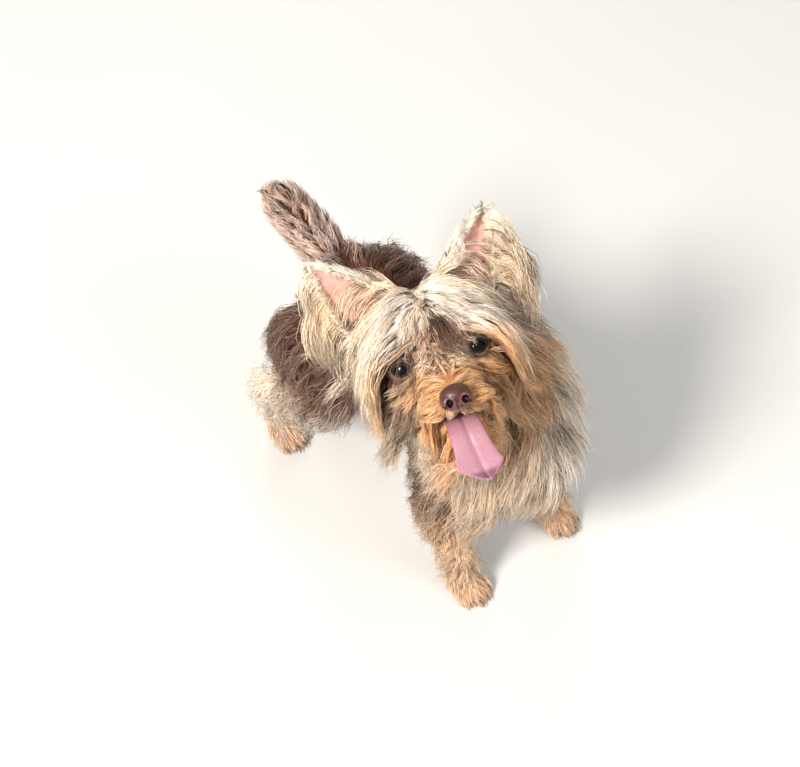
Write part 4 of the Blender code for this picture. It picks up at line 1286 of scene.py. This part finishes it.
# The tongue from root to tip: (x, y, z, half width, half thickness)
TONGUE = [
    (0.0000, 0.0000, -0.0275, 0.0070, 0.0024),
    (0.0000, -0.0140, -0.0278, 0.0080, 0.0022),
    (0.0000, -0.0240, -0.0283, 0.0082, 0.0019),
    (0.0002, -0.0296, -0.0310, 0.0085, 0.0016),
    (0.0006, -0.0326, -0.0355, 0.0089, 0.0014),
    (0.0010, -0.0340, -0.0410, 0.0099, 0.0013),
    (0.0014, -0.0348, -0.0455, 0.0111, 0.0012),
    (0.0016, -0.0352, -0.0473, 0.0117, 0.0012),
    (0.0018, -0.0358, -0.0485, 0.0112, 0.0011),
    (0.0026, -0.0374, -0.0510, 0.0076, 0.0010),
    (0.0034, -0.0392, -0.0536, 0.0034, 0.0009),
    (0.0038, -0.0400, -0.0546, 0.0008, 0.0007),
]


def smooth_line(rows, count):
    """Rows of numbers made many by a smooth curve through them."""
    rows = np.array(rows)
    at = np.linspace(0, len(rows) - 1, count)
    low = np.clip(np.floor(at).astype(int), 0, len(rows) - 2)
    t = (at - low)[:, None]
    before = rows[np.maximum(low - 1, 0)]
    start, end = rows[low], rows[low + 1]
    after = rows[np.minimum(low + 2, len(rows) - 1)]
    slope_in, slope_out = (end - before) / 2, (after - start) / 2
    return (
        start * (2 * t**3 - 3 * t**2 + 1)
        + slope_in * (t**3 - 2 * t**2 + t)
        + end * (3 * t**2 - 2 * t**3)
        + slope_out * (t**3 - t**2)
    )


def make_tongue():
    """Hangs over the lower lip, grooved down its middle, its tip curled forward, with painted shade inside the curl
    and along the middle line.
    """
    stations = smooth_line(TONGUE, 90)
    around = 48
    path = stations[:, :3]
    along = np.gradient(path, axis=0)
    bm = bmesh.new()
    rings, shade = [], []
    for k, (x, y, z, half_width, half_thick) in enumerate(stations):
        ahead = Vector(along[k]).normalized()
        across = Vector((1, 0, 0))
        up = across.cross(ahead).normalized()
        ring = []
        for j in range(around):
            turn = 2 * math.pi * j / around
            u, v = math.cos(turn), math.sin(turn)
            edge = math.copysign(abs(v) ** 0.8, v) * half_thick
            top = v > 0
            groove = 0.8 * MM * math.exp(-((u / 0.10) ** 2)) * min(1, k / 20)
            cup = 0.10 * half_width * abs(u) ** 1.4
            lift = cup - (groove if top else 0)
            ring.append(bm.verts.new(Vector((x, y, z)) + across * u * half_width - up * (edge + lift)))
            # Painted shade: the top of the tongue just inside its curled tip
            painted_curl_shade = ramp(0.76, 0.84, np.array(k / len(stations))) * (1.0 if top else 0.0)
            shade.append((float(painted_curl_shade), abs(u), k / len(stations)))
        rings.append(ring)
    for low, high in zip(rings, rings[1:]):
        for j in range(around):
            n = (j + 1) % around
            bm.faces.new((low[j], low[n], high[n], high[j]))
    bm.faces.new(rings[0])
    bm.faces.new(rings[-1])
    bmesh.ops.recalc_face_normals(bm, faces=bm.faces)
    bm.transform(HEAD)
    tongue = mesh_object("tongue_soft", bm)
    shade = np.array(shade)
    pink = np.tile(np.array((0.380, 0.184, 0.228)), (len(shade), 1))
    colour = mix(pink, np.array((0.340, 0.136, 0.180)), ramp(0.75, 1.0, shade[:, 1]))
    # Painted shade: darker along the middle line, where the groove runs on top
    colour = mix(colour, np.array((0.305, 0.130, 0.174)), ramp(0.10, 0.0, shade[:, 1]))
    # Painted shade: a dark band inside the curl, fading towards the edges and the tip
    curl_shadow = shade[:, 0] * ramp(0.95, 0.75, shade[:, 1]) * ramp(0.955, 0.90, shade[:, 2])
    tint_points(tongue, mix(colour, np.array((0.170, 0.060, 0.100)), curl_shadow))
    smooth_shade(tongue)
    tongue.data.materials.append(tongue_material())
    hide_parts("tongue")
    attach(tongue, "root")


def tongue_material():
    material, tree, shader = new_material("tongue")
    mottled = between(tree, noise(tree, 900), 0.88, 1.10)
    link(tree, shaded(tree, tinted(tree), mottled), shader.inputs["Base Color"])
    shader.inputs["Roughness"].default_value = 0.50
    shader.inputs["Coat Weight"].default_value = 0.12
    shader.inputs["Coat Roughness"].default_value = 0.30
    shader.inputs["Subsurface Weight"].default_value = 0.15
    shader.inputs["Subsurface Radius"].default_value = (0.003, 0.001, 0.0008)
    bump(tree, shader, noise(tree, 3200, 2.0), 0.16 * MM, 0.8)
    return material


def make_claws():
    """Four short curved claws on each paw."""
    bm = bmesh.new()
    for x, y in FEET.values():
        for toe in toes(x, y):
            rings = []
            for k in range(7):
                t = k / 6
                centre = toe + Vector((0, -0.0050 - 0.0050 * t, 0.0012 - 0.0036 * t * t))
                radius = 0.85 * MM * (1 - 0.9 * t ** 1.5)
                rings.append(
                    [
                        bm.verts.new(
                            centre + Vector((math.cos(a) * radius * 0.8, 0, math.sin(a) * radius))
                        )
                        for a in (2 * math.pi * j / 10 for j in range(10))
                    ]
                )
            for low, high in zip(rings, rings[1:]):
                for j in range(10):
                    n = (j + 1) % 10
                    bm.faces.new((low[j], low[n], high[n], high[j]))
            bm.faces.new(rings[0])
            bm.faces.new(rings[-1])
    bmesh.ops.recalc_face_normals(bm, faces=bm.faces)
    bm.transform(BODY)
    claws = mesh_object("claws", bm)
    smooth_shade(claws)
    claws.data.materials.append(plain_wet("claw", (0.160, 0.100, 0.075), 0.35, 1200, 0.04 * MM))
    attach(claws, "root")


# An ear's long hair: edge it grows from (outer 1, inner -1, front 0), from and to along the ear,
# guides, strands on each, length, and the ways it starts and ends: across, along, out of the opening
Fringe = namedtuple("Fringe", "edge low high guides strands length start end")
FRINGES = [
    Fringe(1, 0.02, 0.62, 13, 60, 0.036, (1.0, 0.35, 0.30), (0.25, -1.0, 0.05)),
    Fringe(1, 0.58, 0.95, 9, 44, 0.023, (1.0, 0.25, 0.25), (0.45, -1.0, 0.0)),
    Fringe(-1, 0.05, 0.50, 9, 36, 0.015, (-0.20, 1.0, 0.45), (0.2, 0.7, 0.1)),
    Fringe(-1, 0.50, 0.90, 8, 30, 0.007, (-0.10, 0.8, 0.50), (0.6, 0.6, 0.2)),
    Fringe(0, 0.02, 0.50, 9, 7, 0.028, (0.9, 0.75, 0.70), (0.8, -0.9, 0.05)),
]


def fringe_guides(side, rng):
    """Guides round an ear's edges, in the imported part's frame, and the strands on each."""
    lines, ups, counts = [], [], []
    _, along, look, across = ear_axes(side)
    for fringe in FRINGES:
        for k in range(fringe.guides):
            v = fringe.low + (fringe.high - fringe.low) * (k + rng.random()) / fringe.guides
            u = 0.74 * fringe.edge if fringe.edge else -0.74
            here = ear_point(side, u, v) + look * 0.8 * MM
            length = fringe.length * rng.uniform(0.8, 1.15) * (1.15 if side == LEFT else 1.0)
            line = []
            for step in range(STEPS):
                t = step / (STEPS - 1)
                ways = [a + (b - a) * min(1, 1.4 * t) for a, b in zip(fringe.start, fringe.end)]
                heading = across * ways[0] + along * ways[1] + look * ways[2]
                line.append(here.copy())
                here = here + heading.normalized() * length / (STEPS - 1)
            lines.append([HEAD @ p for p in line])
            ups.append([HEAD.to_3x3() @ look] * STEPS)
            counts.append(fringe.strands)
    return frames_along(lines, ups), counts


def grow_fringe(side, word, material):
    rng = np.random.default_rng(300 + side)
    guides, counts = fringe_guides(side, rng)
    owner = np.repeat(np.arange(len(counts)), counts)
    spread = rng.normal(0, 1, (len(owner), 3)) * (1.6 * MM, 0.9 * MM, 0.5 * MM)
    turn = HEAD.to_3x3()
    _, along, look, across = (np.array(turn @ v) if k else v for k, v in enumerate(ear_axes(side)))
    roots = guides.lines[owner, 0] + spread[:, :1] * along + spread[:, 1:2] * across + spread[:, 2:] * look
    style = WAVY._replace(width=0.42 * MM, clump=0.55, wave=0.05, turns=0.8, loose=0.02, puff=0.0022)
    made = grow_strands(guides, owner, roots, style, rng)
    axis = (HEAD @ ear_axes(side)[0], along)
    return coat_object(f"ear_fringe_{word}", *made, roots, owner, axis, material, "coat_ear", rng)


# The dark strands over the brow: where each starts across and up, its length, how it leans
FORELOCK = (
    (0.0008, 0.022, 0.036, 0.00),
    (0.0024, 0.022, 0.038, 0.03),
    (0.0044, 0.021, 0.032, 0.10),
    (-0.0090, 0.012, 0.034, -0.04),
    (-0.0125, 0.014, 0.028, -0.10),
    (0.0110, 0.014, 0.022, 0.10),
)


def grow_forelock(surface, material):
    """The dark lock that falls from the parting between the eyes, and a few stray ones beside it."""
    rng = np.random.default_rng(77)
    turn = HEAD.to_3x3()
    lines, ups = [], []
    for x, height, length, aside in FORELOCK:
        root, normal, _, _ = surface.tree.find_nearest(HEAD @ Vector((x, 0.006, height)))
        hair = Hair(turn @ Vector((aside, -0.05, -1)), length, 0.0052, 0.0, 0.5)
        line, up = trace(surface.tree, root, normal, hair)
        lines.append(line)
        ups.append(up)
    guides = frames_along(lines, ups)
    owner = np.repeat(np.arange(6), (26, 34, 18, 9, 6, 5))
    roots = guides.lines[owner, 0] + rng.normal(0, 0.9 * MM, (len(owner), 3))
    style = LONG._replace(width=0.32 * MM, clump=0.45, wave=0.05, loose=0.05, puff=0.0014)
    points, width, across, up = grow_strands(guides, owner, roots, style, rng)
    shade = rng.uniform(0.7, 1.6, (len(owner), 1))
    colours = (DARK_HAIR * shade, BROWN * 0.45 * shade)
    axis = (HEAD @ Vector((0, 0.02, 0.01)), turn @ Vector((0, 0, 1)))
    lock = strand_mesh("forelock", points, width, across, up, colours, unrolled(roots, axis))
    lock.data.materials.append(material)
    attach(lock, "root")


def grow_all(skin):
    surface = read_surface(skin)
    silk = hair_material("silk", 0.40)
    matt = hair_material("short_hair", 0.48)
    head_rule = in_place(head_hair, HEAD)
    jaw_rule = in_place(jaw_hair, HEAD)
    left = surface.centres[:, 0] > (BODY @ Vector((0, 0, 0))).x
    rear = surface.centres[:, 1] > (BODY @ Vector((0, 0.020, 0))).y
    q = in_frame(HEAD, surface.centres)
    normals_in_head = surface.normals @ np.array(HEAD)[:3, :3]
    head_left = q[:, 0] > 0
    face = q[:, 1] < 0.012
    x_axis = BODY.to_3x3() @ Vector((0, 1, 0))
    spine = (BODY @ Vector((0, 0, 0.140)), x_axis)
    throat = (BODY @ Vector((-0.008, -0.036, 0.170)), Vector((-0.2, 0.2, 1)))
    skull = (HEAD @ Vector((0, 0.020, 0.0)), HEAD.to_3x3() @ Vector((0, 1, 0)))
    muzzle = (HEAD @ Vector((0, 0.0, -0.014)), HEAD.to_3x3() @ Vector((0, 1, 0)))
    chin = (HEAD @ Vector((0, 0.0, -0.031)), HEAD.to_3x3() @ Vector((0, 1, 0.2)))
    seed = 100
    for side, word in SIDES:
        on_side = left == (side == LEFT)
        on_face_side = head_left == (side == LEFT)
        torso = (surface.nodes == "torso") & on_side
        grow_coat(
            f"coat_shoulder_{word}", surface, torso & ~rear, in_place(torso_hair, BODY),
            WAVY, 5.5 * MM, 4200, spine, silk, "coat_body", seed + 1,
        )
        grow_coat(
            f"coat_rump_{word}", surface, torso & rear, in_place(torso_hair, BODY),
            WAVY, 5.5 * MM, 4000, spine, silk, "coat_body", seed + 2,
        )
        grow_coat(
            f"coat_ruff_{word}", surface, (surface.nodes == "neck") & on_side, in_place(neck_hair, BODY),
            LONG._replace(clump=0.88, wave=0.09, turns=0.8, puff=0.0026), 6.0 * MM, 3700, throat, silk, "coat_ruff", seed + 3,
        )
        head = (surface.nodes == "head") & on_face_side
        grow_coat(
            f"coat_crown_{word}", surface, head & ~face, head_rule,
            LONG._replace(width=0.44 * MM), 4.2 * MM, 5000, skull, silk, "coat_head", seed + 4,
        )
        grow_coat(
            f"coat_face_{word}", surface, head & face, head_rule,
            LONG._replace(width=0.37 * MM, puff=0.0012, loose=0.04), 2.6 * MM, 4600, muzzle, silk,
            "coat_head", seed + 5,
        )
        grow_coat(
            f"coat_beard_{word}", surface, (surface.nodes == "lower_jaw") & on_face_side, jaw_rule,
            WAVY._replace(width=0.40 * MM), 3.2 * MM, 1800, chin, silk, "coat_beard", seed + 6,
        )
        base, along, _, _ = ear_axes(side)
        grow_coat(
            f"coat_ear_{word}", surface, surface.nodes == f"ear_{word}", in_place(ear_back_hair, HEAD),
            SHORT, 2.6 * MM, 2300, (HEAD @ base, HEAD.to_3x3() @ along), matt, "coat_ear", seed + 7,
        )
        ear_front = (surface.nodes == f"ear_{word}") & (normals_in_head @ np.array(ear_axes(side)[2]) > 0.2)
        grow_coat(
            f"coat_ear_front_{word}", surface, ear_front, in_place(ear_front_hair, HEAD),
            SHORT._replace(width=0.26 * MM, clump=0.25), 2.2 * MM, 1500,
            (HEAD @ base, HEAD.to_3x3() @ along), matt, "coat_ear", seed + 10,
        )
        grow_fringe(side, word, silk)
        for leg, paw in (("foreleg", "forepaw"), ("hindleg", "hindpaw")):
            x, y = FEET[f"{paw}_{word}"]
            shin = (BODY @ Vector((x, y + 0.010, 0.0)), Vector((0, 0, 1)))
            grow_coat(
                f"coat_{leg}_{word}", surface, surface.nodes == f"{leg}_{word}", in_place(leg_hair, BODY),
                WAVY._replace(width=0.48 * MM, puff=0.0018, clump=0.70), 3.4 * MM, 2050, shin, silk, "coat_leg", seed + 8,
            )
            grow_coat(
                f"coat_{paw}_{word}", surface, surface.nodes == f"{paw}_{word}", in_place(paw_hair, BODY),
                SHORT, 2.4 * MM, 1350, shin, matt, "coat_leg", seed + 9,
            )
        seed += 20
    tail_axis = (BODY @ Vector(TAIL[0][:3]), Vector(TAIL[-1][:3]) - Vector(TAIL[0][:3]))
    grow_coat(
        "coat_tail", surface, surface.nodes == "tail", in_place(tail_hair, BODY),
        WAVY._replace(width=0.56 * MM, clump=0.42, wave=0.06), 3.2 * MM, 3300, tail_axis, silk, "coat_tail", seed,
    )
    brow = (surface.nodes == "head") & (abs(q[:, 0]) < 0.013) & (q[:, 1] < 0.020) & (q[:, 2] > -0.001)
    brow |= (surface.nodes != "torso") & (abs(q[:, 0]) < 0.007) & (q[:, 1] > 0.020) & (q[:, 2] > 0.010)
    grow_coat(
        "coat_brow", surface, brow, in_place(brow_hair, HEAD),
        SHORT._replace(width=0.38 * MM, clump=0.35), 2.4 * MM, 2500, skull, silk, "coat_head", seed + 1,
    )
    x, y, _ = in_frame(BODY, surface.centres).T
    parting = (surface.nodes == "torso") & (abs(x) < 0.009) & ((surface.normals[:, 2] > 0.3) | (y > 0.078))
    grow_coat(
        "coat_spine", surface, parting, in_place(spine_hair, BODY),
        SHORT._replace(width=0.46 * MM, clump=0.35), 2.6 * MM, 2500, spine, silk, "coat_body", seed + 2,
    )
    grow_forelock(surface, silk)


def make_stage():
    """A wide pale floor."""
    bpy.ops.mesh.primitive_plane_add(size=60)
    floor = bpy.context.object
    floor.name = "floor"
    material, tree, shader = new_material("floor")
    base = tree.nodes.new("ShaderNodeRGB")
    base.outputs["Color"].default_value = (0.62, 0.615, 0.60, 1)
    clouds = between(tree, noise(tree, 2.0, 3.0), 0.97, 1.03)
    link(tree, shaded(tree, base.outputs["Color"], clouds), shader.inputs["Base Color"])
    shader.inputs["Roughness"].default_value = 0.85
    floor.data.materials.append(material)


def area_light(name, place, target, size, power, colour, mirrored=False):
    data = bpy.data.lights.new(name, "AREA")
    data.shape = "DISK"
    data.size = size
    data.energy = power
    data.color = colour
    light = bpy.data.objects.new(name, data)
    bpy.context.scene.collection.objects.link(light)
    light.location = place
    light.rotation_mode = "QUATERNION"
    light.rotation_quaternion = (Vector(target) - Vector(place)).to_track_quat("-Z", "Y")
    light.visible_glossy = mirrored


def make_lights():
    world = bpy.data.worlds.new("studio")
    bpy.context.scene.world = world
    world.use_nodes = True
    world.node_tree.nodes["Background"].inputs["Color"].default_value = (1.0, 0.985, 0.96, 1)
    world.node_tree.nodes["Background"].inputs["Strength"].default_value = 0.42
    target = BODY @ Vector((0, 0, 0.14))
    area_light("key", (-1.25, 0.0, 1.45), target, 0.5, 53, (1.0, 0.95, 0.88), mirrored=True)
    area_light("fill", (0.3, -1.4, 1.1), target, 1.2, 12, (0.97, 0.98, 1.0))
    area_light("rim", (0.8, 1.1, 1.1), target, 0.9, 10, (1.0, 0.98, 0.95))


# The camera: what it aims at and how far off, its bearing and height, and the lens
AIM = Vector((0, 0, 0.1))
DISTANCE = 0.85
BEARING = math.radians(-48.5)
HEIGHT = math.radians(58.2)
FOCAL_PIXELS = 1389
PHOTO_WIDTH = 800
SENSOR = 36
PAN, TILT = -0.029, 0.021


def make_camera():
    out = Vector((math.sin(BEARING) * math.cos(HEIGHT), -math.cos(BEARING) * math.cos(HEIGHT), math.sin(HEIGHT)))
    forward = -out
    right = forward.cross(Vector((0, 0, 1))).normalized()
    up = right.cross(forward)
    look = (forward + right * PAN + up * TILT).normalized()
    data = bpy.data.cameras.new("camera")
    data.sensor_width = SENSOR
    data.lens = SENSOR * FOCAL_PIXELS / PHOTO_WIDTH
    data.clip_start = 0.01
    camera = bpy.data.objects.new("camera", data)
    bpy.context.scene.collection.objects.link(camera)
    camera.location = BODY @ (AIM + out * DISTANCE)
    camera.rotation_mode = "QUATERNION"
    camera.rotation_quaternion = look.to_track_quat("-Z", "Y")
    bpy.context.scene.camera = camera


skin = dress_skin()
for side, word in SIDES:
    make_eye(side, word)
    make_lids(side, word)
make_nose()
make_tongue()
make_claws()
grow_all(skin)
make_stage()
make_lights()
make_camera()
bpy.context.scene.view_settings.view_transform = "Standard"
